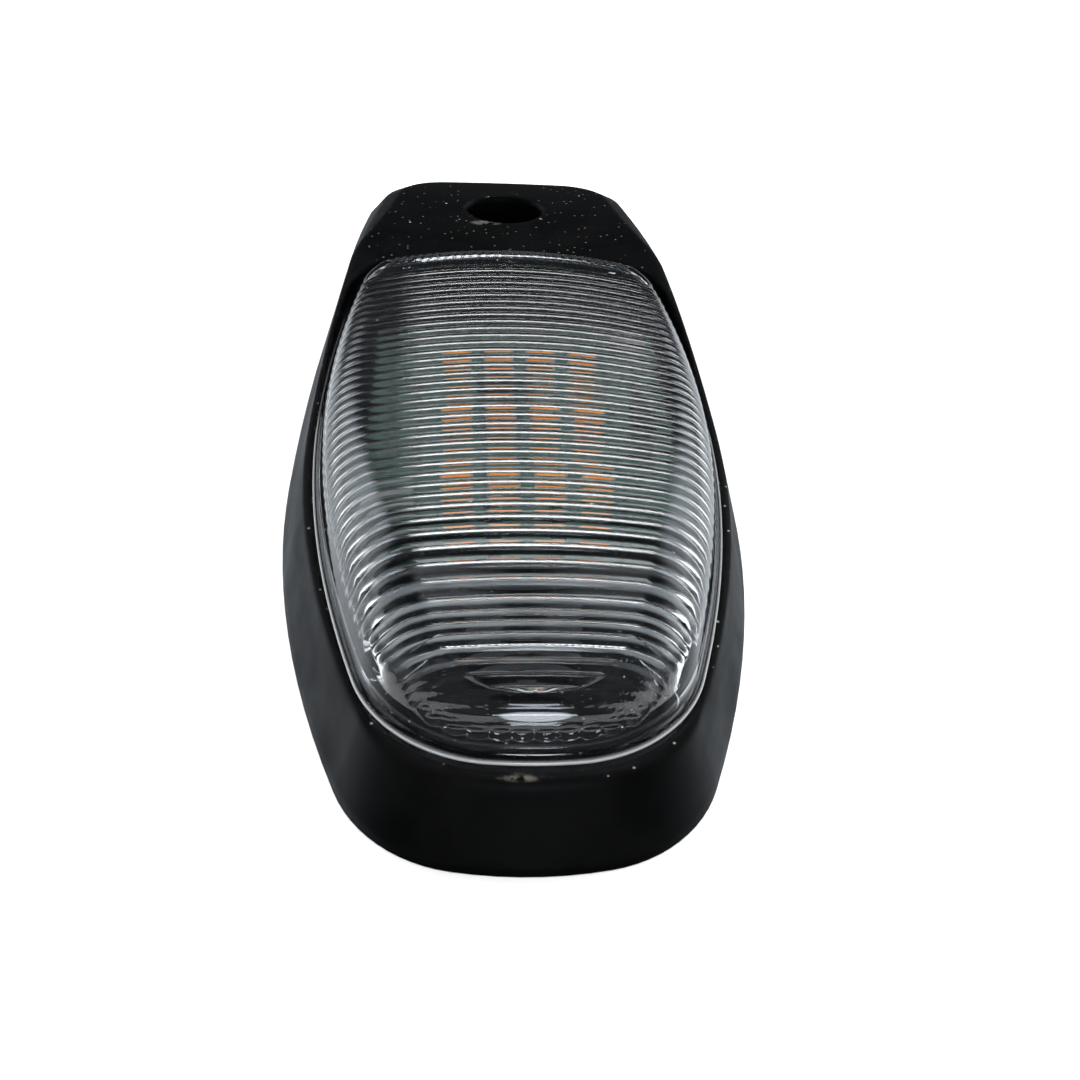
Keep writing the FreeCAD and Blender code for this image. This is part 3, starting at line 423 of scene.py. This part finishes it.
# A dust patch in front of the lens, and a pale patch of painted highlight on the rounded edge of the screw
# hole: middle, half sizes, breaks and colour
DUST_PATCH = Vector((-1.2, -62.2, 9.5))
DUST_PATCH_HALF = (2.4, 0.6)
DUST_PATCH_NOISE = {"scale": 1500.0, "detail": 3.0}
DUST_PATCH_RANGE = (0.42, 0.62)
DUST_PATCH_COLOUR = (0.10, 0.092, 0.078)
HOLE_EDGE_PAINTED_HIGHLIGHT = Vector((-3.0, 38.6, 13.5))
HOLE_EDGE_PAINTED_HIGHLIGHT_HALF = (2.6, 1.0)
HOLE_EDGE_PAINTED_HIGHLIGHT_NOISE = {"scale": 700.0, "detail": 2.0}
HOLE_EDGE_PAINTED_HIGHLIGHT_RANGE = (0.40, 0.60)
HOLE_EDGE_PAINTED_HIGHLIGHT_COLOUR = (0.10, 0.10, 0.10)

CLEAR_IOR = 1.58
LENS_CLOUD = {"scale": 90.0, "detail": 3.0}
LENS_CLOUD_RANGE = (0.35, 0.7)
LENS_TINTS = ((0.91, 0.945, 0.97), (0.95, 0.97, 0.985))
LENS_ROUGHNESS = (0.012, 0.05)
RIM_HAZE = 0.5
RIM_CORE = 0.5

# Painted highlight on the flute valleys, a milky whiteness lit by the lamps in place of their glints: how
# near a valley it starts and is full, how dense it gets, and where it stops
VALLEY_EDGES = (0.82, 0.97)
VALLEY_PAINTED_HIGHLIGHT = 0.15
BROAD_EDGES = (0.50, 0.80)
BROAD_PAINTED_HIGHLIGHT = 0.95
BROAD_START = (-45.0, -49.0)
PAINTED_HIGHLIGHT_STOP = (-55.0, -53.0)
PAINTED_HIGHLIGHT_PAST_STOP = 0.05
PAINTED_HIGHLIGHT_THINNEST = 0.35
STREAKS = {"scale": 260.0, "detail": 3.0, "stretch": (0.25, 1.0, 1.0)}
STREAK_RANGE = (0.35, 0.60)
FLUTE_TINTS_AND_HIGHLIGHT = ((0.87, 0.92, 0.98), (0.93, 0.96, 0.99))
FLUTE_ROUGHNESS = (0.01, 0.03)

BOARD_GREENS = ((0.018, 0.090, 0.055), (0.026, 0.120, 0.072))
BOARD_COAT = 0.3
BOARD_COAT_ROUGHNESS = 0.15
BOARD_ROUGHNESS = (0.30, 0.45)
WEAVE = {"scale": 2600.0, "detail": 2.0}
WEAVE_RANGE = (0.4, 0.6)
WEAVE_STRENGTH = 0.1
TRACK_GAP = 0.35
TRACK_LENGTH = 7.2
TRACK_ROW = 4.1
TRACK_OFFSET = 0.5
TRACK_COLOUR = (0.007, 0.034, 0.024)

# Plain stuffs: the two colours they are mottled with, the scale of the mottling, the range of their roughness
MOTTLE_DETAIL = 4.0
FINE_TIMES = 8
FINE_DETAIL = 2.0
PLAIN_STUFFS = {
    "led_plastic": {
        "dark": (0.42, 0.38, 0.28), "light": (0.52, 0.47, 0.35), "scale": 1500.0, "roughness": (0.3, 0.45)},
    # The LED phosphor's emission is painted light: a steady brightening that makes it look lit from above.
    "led_phosphor": {
        "dark": (0.95, 0.24, 0.010), "light": (1.0, 0.32, 0.02), "scale": 1800.0, "roughness": (0.25, 0.4),
        "painted_glow": 0.45},
    "chip_plastic": {
        "dark": (0.015, 0.015, 0.016), "light": (0.03, 0.03, 0.032), "scale": 1400.0,
        "roughness": (0.45, 0.6)},
    "resistor_ceramic": {
        "dark": (0.02, 0.02, 0.024), "light": (0.05, 0.05, 0.055), "scale": 1600.0, "roughness": (0.2, 0.4)},
    "capacitor_ceramic": {
        "dark": (0.30, 0.20, 0.12), "light": (0.40, 0.28, 0.17), "scale": 1600.0, "roughness": (0.3, 0.45)},
    "screw_metal": {
        "dark": (0.20, 0.20, 0.20), "light": (0.30, 0.30, 0.29), "scale": 1200.0, "roughness": (0.4, 0.6),
        "metallic": 1.0},
    "terminal_metal": {
        "dark": (0.24, 0.23, 0.22), "light": (0.34, 0.33, 0.31), "scale": 1200.0, "roughness": (0.4, 0.55),
        "metallic": 1.0},
    "seal_rubber": {
        "dark": (0.012, 0.012, 0.012), "light": (0.022, 0.022, 0.022), "scale": 600.0,
        "roughness": (0.6, 0.8)},
    "grommet_rubber": {
        "dark": (0.03, 0.03, 0.032), "light": (0.06, 0.06, 0.063), "scale": 700.0, "roughness": (0.5, 0.7)},
    "gasket_foam": {
        "dark": (0.02, 0.02, 0.021), "light": (0.045, 0.045, 0.047), "scale": 700.0,
        "roughness": (0.85, 0.95), "grain": 0.5},
}

# The stuff of each node, and of the nodes that are numbered, by how their names start
STUFF_OF_NODE = {
    "housing": "housing_plastic", "led_board": "board_laminate", "board_screws": "screw_metal",
    "lens_seal": "seal_rubber", "lead_grommet": "grommet_rubber", "base_gasket": "gasket_foam",
    "protection_diode": "chip_plastic", "current_driver": "chip_plastic",
    "filter_capacitor": "capacitor_ceramic",
}
STUFF_BY_START = {
    "led_phosphor": "led_phosphor", "led_": "led_plastic", "resistor": "resistor_ceramic",
    "lead_terminal": "terminal_metal",
}


class Surface:
    """A material under construction: its nodes, with short ways to add the usual ones."""

    def __init__(self, name):
        self.material = bpy.data.materials.new(name)
        self.material.use_nodes = True
        self.tree = self.material.node_tree
        self.shader = self.tree.nodes["Principled BSDF"]
        self.place = self.node("ShaderNodeTexCoord").outputs["Object"]

    def node(self, kind, **settings):
        item = self.tree.nodes.new(kind)
        for name, value in settings.items():
            setattr(item, name, value)
        return item

    def link(self, output, target):
        self.tree.links.new(output, target)

    def set(self, **values):
        """Constant values on the shader's own sockets; underscores stand for spaces."""
        for name, value in values.items():
            self.shader.inputs[name.replace("_", " ")].default_value = value

    def noise(self, scale, detail, stretch=None):
        """Noise in the part's own coordinates; scale is in features a metre."""
        item = self.node("ShaderNodeTexNoise")
        item.inputs["Scale"].default_value = scale
        item.inputs["Detail"].default_value = detail
        item.inputs["Roughness"].default_value = NOISE_ROUGHNESS
        source = self.place
        if stretch:
            mapping = self.node("ShaderNodeMapping")
            mapping.inputs["Scale"].default_value = stretch
            self.link(self.place, mapping.inputs["Vector"])
            source = mapping.outputs["Vector"]
        self.link(source, item.inputs["Vector"])
        return item.outputs["Fac"]

    def span(self, value, low, high, to_low=0.0, to_high=1.0):
        """Value carried from one range to another, and held at its ends."""
        item = self.node("ShaderNodeMapRange")
        item.inputs["From Min"].default_value = low
        item.inputs["From Max"].default_value = high
        item.inputs["To Min"].default_value = to_low
        item.inputs["To Max"].default_value = to_high
        self.link(value, item.inputs["Value"])
        return item.outputs["Result"]

    def math(self, operation, first, second):
        item = self.node("ShaderNodeMath", operation=operation)
        for value, socket in zip((first, second), item.inputs):
            if isinstance(value, (int, float)):
                socket.default_value = value
            else:
                self.link(value, socket)
        return item.outputs["Value"]

    def blend(self, share, first, second):
        """Colour between two, each a colour or another output."""
        item = self.node("ShaderNodeMix", data_type="RGBA")
        self.link(share, item.inputs["Factor"])
        for value, index in zip((first, second), MIX_COLOURS):
            socket = item.inputs[index]
            if isinstance(value, tuple):
                socket.default_value = value + (1.0,)
            else:
                self.link(value, socket)
        return item.outputs[MIX_RESULT]

    def specks(self, scale, size, share):
        """Scattered dust: 1 in a share of the cells of a given scale, 0 elsewhere."""
        cells = self.node("ShaderNodeTexVoronoi")
        cells.inputs["Scale"].default_value = scale
        self.link(self.place, cells.inputs["Vector"])
        dots = self.span(cells.outputs["Distance"], size, size * DOT_CORE)
        pick = self.node("ShaderNodeSeparateColor")
        self.link(cells.outputs["Color"], pick.inputs["Color"])
        chosen = self.math("LESS_THAN", pick.outputs["Red"], share)
        return self.math("MULTIPLY", dots, chosen)

    def facing_up(self):
        """1 on faces that look up, 0 on upright ones."""
        parts = self.node("ShaderNodeSeparateXYZ")
        self.link(self.node("ShaderNodeNewGeometry").outputs["Normal"], parts.inputs["Vector"])
        return self.span(parts.outputs["Z"], UP_FROM, UP_FULL)

    def around(self, middle, half_width, half_depth):
        """1 in the middle of an oval at a place, fading to 0 at its edge."""
        mapping = self.node("ShaderNodeMapping")
        scale = Vector((1 / half_width, 1 / half_depth, 1 / half_width)) / MM
        mapping.inputs["Scale"].default_value = scale
        mapping.inputs["Location"].default_value = -middle * MM * scale
        self.link(self.place, mapping.inputs["Vector"])
        reach = self.node("ShaderNodeVectorMath", operation="LENGTH")
        self.link(mapping.outputs["Vector"], reach.inputs[0])
        return self.span(reach.outputs["Value"], 1.0, OVAL_CORE)

    def bump(self, height, strength, distance, edge_round=0.0):
        """Fine relief; edge_round also shades edges as if they were rounded by that radius."""
        item = self.node("ShaderNodeBump")
        if edge_round:
            softened = self.node("ShaderNodeBevel", samples=BEVEL_SAMPLES)
            softened.inputs["Radius"].default_value = edge_round
            self.link(softened.outputs["Normal"], item.inputs["Normal"])
        item.inputs["Strength"].default_value = strength
        item.inputs["Distance"].default_value = distance
        self.link(height, item.inputs["Height"])
        self.link(item.outputs["Normal"], self.shader.inputs["Normal"])

    def along(self, axis):
        """Place along one axis of the part."""
        parts = self.node("ShaderNodeSeparateXYZ")
        self.link(self.place, parts.inputs["Vector"])
        return parts.outputs[axis]

    def colour(self, output):
        self.link(output, self.shader.inputs["Base Color"])

    def rough(self, output):
        self.link(output, self.shader.inputs["Roughness"])


def housing_plastic():
    """Satin black moulded plastic with a fine grain, dust where it faces up, and a painted highlight on the
    rounded edge of the screw hole.
    """
    surface = Surface("housing_plastic")
    surface.set(Specular_IOR_Level=HOUSING_SPECULAR)
    cloud = surface.noise(**HOUSING_CLOUD)
    grain = surface.noise(**HOUSING_GRAIN)
    black = surface.blend(surface.span(cloud, *HOUSING_CLOUD_RANGE), *HOUSING_BLACKS)
    up = surface.facing_up()
    coarse = surface.math("MULTIPLY", surface.specks(**COARSE_DUST), up)
    start, full = RIM_DUST_HEIGHTS
    low = surface.span(surface.along("Z"), start * MM, full * MM, RIM_DUST_ABOVE, 1.0)
    fine = surface.math("MULTIPLY", surface.specks(**RIM_DUST), surface.math("MULTIPLY", low, up))
    dusty = surface.blend(surface.math("MAXIMUM", coarse, fine), black, DUST_COLOUR)
    patch = surface.around(DUST_PATCH, *DUST_PATCH_HALF)
    breaks = surface.span(surface.noise(**DUST_PATCH_NOISE), *DUST_PATCH_RANGE)
    patch = surface.math("MULTIPLY", patch, breaks)
    dusty = surface.blend(patch, dusty, DUST_PATCH_COLOUR)
    # Painted highlight: a pale patch where the rounded edge of the screw hole catches the light.
    hole_painted_highlight = surface.around(HOLE_EDGE_PAINTED_HIGHLIGHT, *HOLE_EDGE_PAINTED_HIGHLIGHT_HALF)
    breaks = surface.span(surface.noise(**HOLE_EDGE_PAINTED_HIGHLIGHT_NOISE), *HOLE_EDGE_PAINTED_HIGHLIGHT_RANGE)
    hole_painted_highlight = surface.math("MULTIPLY", hole_painted_highlight, breaks)
    surface.colour(surface.blend(hole_painted_highlight, dusty, HOLE_EDGE_PAINTED_HIGHLIGHT_COLOUR))
    surface.rough(surface.span(cloud, *NOISE_RANGE, *HOUSING_ROUGHNESS))
    surface.bump(grain, HOUSING_GRAIN_STRENGTH, HOUSING_GRAIN_HEIGHT * MM, edge_round=HOUSING_EDGE_ROUND * MM)
    return surface.material


def clear_plastic():
    """Clear moulded plastic with dust specks lying on it, hazed along the rim at its foot."""
    surface = Surface("clear_plastic")
    surface.set(IOR=CLEAR_IOR)
    cloud = surface.noise(**LENS_CLOUD)
    dust = surface.math("MULTIPLY", surface.specks(**LENS_DUST), surface.facing_up())
    off_rim = surface.math("SUBTRACT", surface.along("Z"), BEAD_HEIGHT * MM)
    off_rim = surface.math("ABSOLUTE", off_rim, 0.0)
    rim = surface.span(off_rim, BEAD_RADIUS * MM, RIM_CORE * BEAD_RADIUS * MM, 0.0, RIM_HAZE)
    surface.colour(surface.blend(cloud, *LENS_TINTS))
    surface.rough(surface.span(cloud, *LENS_CLOUD_RANGE, *LENS_ROUGHNESS))
    solid = surface.math("MAXIMUM", surface.span(dust, 0.0, 1.0, 0.0, LENS_DUST_SOLID), rim)
    surface.link(surface.math("SUBTRACT", 1.0, solid), surface.shader.inputs["Transmission Weight"])
    return surface.material


def fluted_plastic():
    """Inside of the lens: clear, with hazed valleys between flutes, broader where the top turns down; this
    whitening is painted highlight, standing in for the glints of the flutes.
    """
    surface = Surface("fluted_plastic")
    surface.set(IOR=CLEAR_IOR)
    y = surface.along("Y")
    top_pitch = (FLUTE_START - FLUTE_TURN) / FLUTES_ON_TOP * MM
    nose_pitch = (FLUTE_TURN - FLUTE_END) / FLUTES_ON_NOSE * MM
    on_top = surface.math("SUBTRACT", FLUTE_START * MM, surface.math("MAXIMUM", y, FLUTE_TURN * MM))
    on_nose = surface.math("MAXIMUM", surface.math("SUBTRACT", FLUTE_TURN * MM, y), 0.0)
    top_turns = surface.math("DIVIDE", on_top, top_pitch)
    nose_turns = surface.math("DIVIDE", on_nose, nose_pitch)
    across = surface.math("FRACT", surface.math("ADD", top_turns, nose_turns), 0.0)
    edge = surface.math("SUBTRACT", surface.math("MULTIPLY", across, 2.0), 1.0)
    edge = surface.math("ABSOLUTE", edge, 0.0)
    # Whitening of the valleys and of the broad band: painted highlight, standing in for the glints of the
    # flutes.
    valley = surface.span(edge, *VALLEY_EDGES, 0.0, VALLEY_PAINTED_HIGHLIGHT)
    crest = surface.span(y, *(place * MM for place in BROAD_START))
    broad = surface.math("MULTIPLY", surface.span(edge, *BROAD_EDGES, 0.0, BROAD_PAINTED_HIGHLIGHT), crest)
    above = surface.span(surface.along("Z"), FLUTE_BASE * MM, (FLUTE_BASE + FLUTE_TIP) * MM)
    ahead = surface.math("LESS_THAN", y, FLUTE_START * MM)
    uneven = surface.span(surface.noise(**STREAKS), *STREAK_RANGE, PAINTED_HIGHLIGHT_THINNEST, 1.0)
    nose = surface.span(y, *(place * MM for place in PAINTED_HIGHLIGHT_STOP), PAINTED_HIGHLIGHT_PAST_STOP, 1.0)
    painted_highlight_haze = surface.math("MAXIMUM", valley, broad)
    for share in (above, ahead, uneven, nose):
        painted_highlight_haze = surface.math("MULTIPLY", painted_highlight_haze, share)
    surface.colour(surface.blend(uneven, *FLUTE_TINTS_AND_HIGHLIGHT))
    surface.rough(surface.span(uneven, PAINTED_HIGHLIGHT_THINNEST, 1.0, *FLUTE_ROUGHNESS))
    surface.link(surface.math("SUBTRACT", 1.0, painted_highlight_haze), surface.shader.inputs["Transmission Weight"])
    return surface.material


def board_laminate():
    """Green solder mask with a woven ground, parted into fields by darker lines."""
    surface = Surface("board_laminate")
    surface.set(Coat_Weight=BOARD_COAT, Coat_Roughness=BOARD_COAT_ROUGHNESS)
    weave = surface.noise(**WEAVE)
    tracks = surface.node("ShaderNodeTexBrick", offset=TRACK_OFFSET)
    tracks.inputs["Scale"].default_value = 1.0
    tracks.inputs["Mortar Size"].default_value = TRACK_GAP * MM
    tracks.inputs["Brick Width"].default_value = TRACK_LENGTH * MM
    tracks.inputs["Row Height"].default_value = TRACK_ROW * MM
    surface.link(surface.place, tracks.inputs["Vector"])
    ground = surface.blend(surface.span(weave, *WEAVE_RANGE), *BOARD_GREENS)
    surface.colour(surface.blend(tracks.outputs["Fac"], ground, TRACK_COLOUR))
    surface.rough(surface.span(weave, *NOISE_RANGE, *BOARD_ROUGHNESS))
    surface.bump(weave, WEAVE_STRENGTH, FINE_RELIEF * MM)
    return surface.material


def mottled(name, dark, light, scale, roughness, metallic=0.0, grain=0.1, painted_glow=0.0):
    """A plain stuff with a little mottling in its colour, gloss and height; the emission, used on the LED
    phosphor, is painted light that brightens it beyond what the lamps give it.
    """
    surface = Surface(name)
    surface.set(Metallic=metallic, Emission_Strength=painted_glow, Emission_Color=light + (1.0,))
    cloud = surface.noise(scale, MOTTLE_DETAIL)
    fine = surface.noise(scale * FINE_TIMES, FINE_DETAIL)
    surface.colour(surface.blend(surface.span(cloud, *NOISE_RANGE), dark, light))
    surface.rough(surface.span(cloud, *NOISE_RANGE, *roughness))
    surface.bump(fine, grain, FINE_RELIEF * MM)
    return surface.material


def stuff_of(name):
    """Name of the stuff that a node is made of."""
    if name in STUFF_OF_NODE:
        return STUFF_OF_NODE[name]
    return next(stuff for start, stuff in STUFF_BY_START.items() if name.startswith(start))


def dress_nodes():
    """Give each carried-over solid its material; the lens is replaced and dressed apart."""
    stuffs = {name: mottled(name, **values) for name, values in PLAIN_STUFFS.items()}
    stuffs["housing_plastic"] = housing_plastic()
    stuffs["board_laminate"] = board_laminate()
    for name, item in nodes.items():
        if name == "lens":
            continue
        item.data.materials.clear()
        item.data.materials.append(stuffs[stuff_of(name)])


# Studio, in metres

PAPER_ROUGHNESS = 0.9
FLOOR_DROP = 0.1 * MM
FLOOR_REACH = 3.3
FLOOR_NOISE = {"scale": 3.0, "detail": 2.0}
FLOOR_TONES = ((0.86, 0.86, 0.86), (0.88, 0.88, 0.88))
FLOOR_SPECULAR = 0.1
BACKDROP_REACH = 3.0
BACKDROP_HEIGHT = 4.0
BACKDROP_SIDES = 48
BACKDROP_NOISE = {"scale": 2.0, "detail": 2.0}
BACKDROP_TONES = ((0.86, 0.86, 0.86), (0.90, 0.90, 0.90))
BACKDROP_GLOW = 0.9

LIGHT_AIM = Vector((0.0, -10.0, 15.0)) * MM
CEILING = {"place": (0.0, 0.0, 3.5), "width": 8.0, "height": 8.0, "radiance": 2.1}
INSIDE_LIGHT = {"place": (0.16, 0.48, 0.78), "width": 0.9, "height": 0.5, "radiance": 4.0}

# Soft patches of light in the surroundings: the way to each, cosines where it fades in and is full, radiance
SOFT_PATCHES = [
    ((-0.24, 0.22, 0.94), 0.965, 0.995, 0.6),
    ((0.32, 0.22, 0.92), 0.965, 0.995, 0.5),
    ((0.07, -0.98, 0.19), 0.988, 0.993, 9.0),
    ((-0.70, 0.60, 0.25), 0.90, 0.99, 1.2),
    ((0.75, 0.55, 0.30), 0.88, 0.99, 1.2),
    ((0.95, -0.15, 0.15), 0.93, 0.99, 0.5),
    ((-0.95, -0.15, 0.15), 0.93, 0.99, 0.4),
]
SKY_RADIANCE = 0.05
SKY_COLOUR = (0.86, 0.93, 1.0, 1.0)

# Pale table in the surroundings: heights and places along the lamp where it fades in and is full
TABLE_RADIANCE = 0.8
TABLE_HEIGHTS = (-0.02, -0.2)
TABLE_PLACES = (-0.3, 0.4)


def build_floor():
    """Plain pale floor."""
    reach = FLOOR_REACH
    corners = [(-reach, -reach, 0), (reach, -reach, 0), (reach, reach, 0), (-reach, reach, 0)]
    mesh = bpy.data.meshes.new("floor")
    mesh.from_pydata(corners, [], [(0, 1, 2, 3)])
    floor = bpy.data.objects.new("floor", mesh)
    floor.location.z = -FLOOR_DROP
    floor.visible_glossy = False
    bpy.context.scene.collection.objects.link(floor)
    surface = Surface("floor_paper")
    surface.colour(surface.blend(surface.noise(**FLOOR_NOISE), *FLOOR_TONES))
    surface.set(Roughness=PAPER_ROUGHNESS, Specular_IOR_Level=FLOOR_SPECULAR)
    mesh.materials.append(surface.material)


def build_backdrop():
    """Pale wall all round, far behind the lamp; it is only looked at, and sends no light to the lamp."""
    corners = [(BACKDROP_REACH * math.cos(turn), BACKDROP_REACH * math.sin(turn))
               for turn in np.linspace(0.0, 2 * math.pi, BACKDROP_SIDES, endpoint=False)]
    vertices = [(x, y, z) for z in (-FLOOR_DROP, BACKDROP_HEIGHT) for x, y in corners]
    faces = []
    for i in range(BACKDROP_SIDES):
        following = (i + 1) % BACKDROP_SIDES
        faces.append((following, i, i + BACKDROP_SIDES, following + BACKDROP_SIDES))
    mesh = bpy.data.meshes.new("backdrop")
    mesh.from_pydata(vertices, [], faces)
    mesh.polygons.foreach_set("use_smooth", [True] * len(faces))
    wall = bpy.data.objects.new("backdrop", mesh)
    wall.visible_glossy = False
    wall.visible_transmission = False
    wall.visible_diffuse = False
    wall.visible_shadow = False
    bpy.context.scene.collection.objects.link(wall)
    surface = Surface("backdrop_paper")
    tone = surface.blend(surface.noise(**BACKDROP_NOISE), *BACKDROP_TONES)
    surface.colour(tone)
    surface.link(tone, surface.shader.inputs["Emission Color"])
    surface.set(Roughness=PAPER_ROUGHNESS, Specular_IOR_Level=0.0, Emission_Strength=BACKDROP_GLOW)
    mesh.materials.append(surface.material)


def soft_light(name, place, width, height, radiance, through_lens):
    """Rectangular soft box of an even radiance, turned towards the lamp and not mirrored in it."""
    lamp = bpy.data.lights.new(name, "AREA")
    lamp.shape = "RECTANGLE"
    lamp.size = width
    lamp.size_y = height
    lamp.energy = radiance * math.pi * width * height
    item = bpy.data.objects.new(name, lamp)
    item.location = place
    item.rotation_euler = (LIGHT_AIM - Vector(place)).to_track_quat("-Z", "Y").to_euler()
    item.visible_camera = False
    item.visible_glossy = False
    item.visible_transmission = through_lens
    bpy.context.scene.collection.objects.link(item)


def build_world():
    """Dim sky with soft patches of light, and a pale table that is seen only behind and beside the lamp."""
    world = bpy.data.worlds.new("studio")
    world.use_nodes = True
    tree = world.node_tree
    ways = tree.nodes.new("ShaderNodeTexCoord").outputs["Generated"]
    parts = tree.nodes.new("ShaderNodeSeparateXYZ")
    tree.links.new(ways, parts.inputs["Vector"])

    def faded(value, low, high, full):
        item = tree.nodes.new("ShaderNodeMapRange")
        item.interpolation_type = "SMOOTHSTEP"
        item.inputs["From Min"].default_value = low
        item.inputs["From Max"].default_value = high
        item.inputs["To Max"].default_value = full
        tree.links.new(value, item.inputs["Value"])
        return item.outputs["Result"]

    def combined(operation, first, second):
        item = tree.nodes.new("ShaderNodeMath")
        item.operation = operation
        tree.links.new(first, item.inputs[0])
        tree.links.new(second, item.inputs[1])
        return item.outputs["Value"]

    below = faded(parts.outputs["Z"], *TABLE_HEIGHTS, 1.0)
    behind = faded(parts.outputs["Y"], *TABLE_PLACES, TABLE_RADIANCE)
    total = combined("MULTIPLY", below, behind)
    for way, low, high, radiance in SOFT_PATCHES:
        toward = tree.nodes.new("ShaderNodeVectorMath")
        toward.operation = "DOT_PRODUCT"
        toward.inputs[1].default_value = Vector(way).normalized()
        tree.links.new(ways, toward.inputs[0])
        total = combined("ADD", total, faded(toward.outputs["Value"], low, high, radiance))
    lifted = tree.nodes.new("ShaderNodeMath")
    lifted.inputs[1].default_value = SKY_RADIANCE
    tree.links.new(total, lifted.inputs[0])
    background = tree.nodes["Background"]
    background.inputs["Color"].default_value = SKY_COLOUR
    tree.links.new(lifted.outputs["Value"], background.inputs["Strength"])
    bpy.context.scene.world = world


def light_studio():
    """Surroundings, a broad light over the floor, and one that reaches in through the lens."""
    build_world()
    soft_light("ceiling", **CEILING, through_lens=False)
    soft_light("inside_light", **INSIDE_LIGHT, through_lens=True)
    bpy.context.scene.view_settings.view_transform = "Standard"


# Camera, as fitted to the photograph

CAMERA_AIM = Vector((2.0, -30.3, 10.0)) * MM
CAMERA_DISTANCE = 130.0 * MM
CAMERA_ELEVATION = math.radians(40.0)
CAMERA_AZIMUTH = math.radians(-5.39)
CAMERA_ROLL = math.radians(4.0)
FOCAL_PIXELS = 1200.0
IMAGE_PIXELS = 1080.0
SENSOR_WIDTH = 36.0
CLIP_START = 5.0 * MM


def place_camera():
    """Camera near the front end, above it and slightly to the left."""
    back = Vector((math.sin(CAMERA_AZIMUTH) * math.cos(CAMERA_ELEVATION),
                   -math.cos(CAMERA_AZIMUTH) * math.cos(CAMERA_ELEVATION),
                   math.sin(CAMERA_ELEVATION)))
    level = Vector((math.cos(CAMERA_AZIMUTH), math.sin(CAMERA_AZIMUTH), 0.0))
    upright = back.cross(level)
    right = level * math.cos(CAMERA_ROLL) + upright * math.sin(CAMERA_ROLL)
    up = upright * math.cos(CAMERA_ROLL) - level * math.sin(CAMERA_ROLL)
    lens = bpy.data.cameras.new("camera")
    lens.sensor_width = SENSOR_WIDTH
    lens.lens = FOCAL_PIXELS / IMAGE_PIXELS * SENSOR_WIDTH
    lens.clip_start = CLIP_START
    camera = bpy.data.objects.new("camera", lens)
    turn = Matrix((right, up, back)).transposed().to_4x4()
    camera.matrix_world = Matrix.Translation(CAMERA_AIM + back * CAMERA_DISTANCE) @ turn
    bpy.context.scene.collection.objects.link(camera)
    bpy.context.scene.camera = camera


dress_nodes()
lens = build_lens()
lens.data.materials.append(clear_plastic())
lens.data.materials.append(fluted_plastic())
build_floor()
build_backdrop()
light_studio()
place_camera()
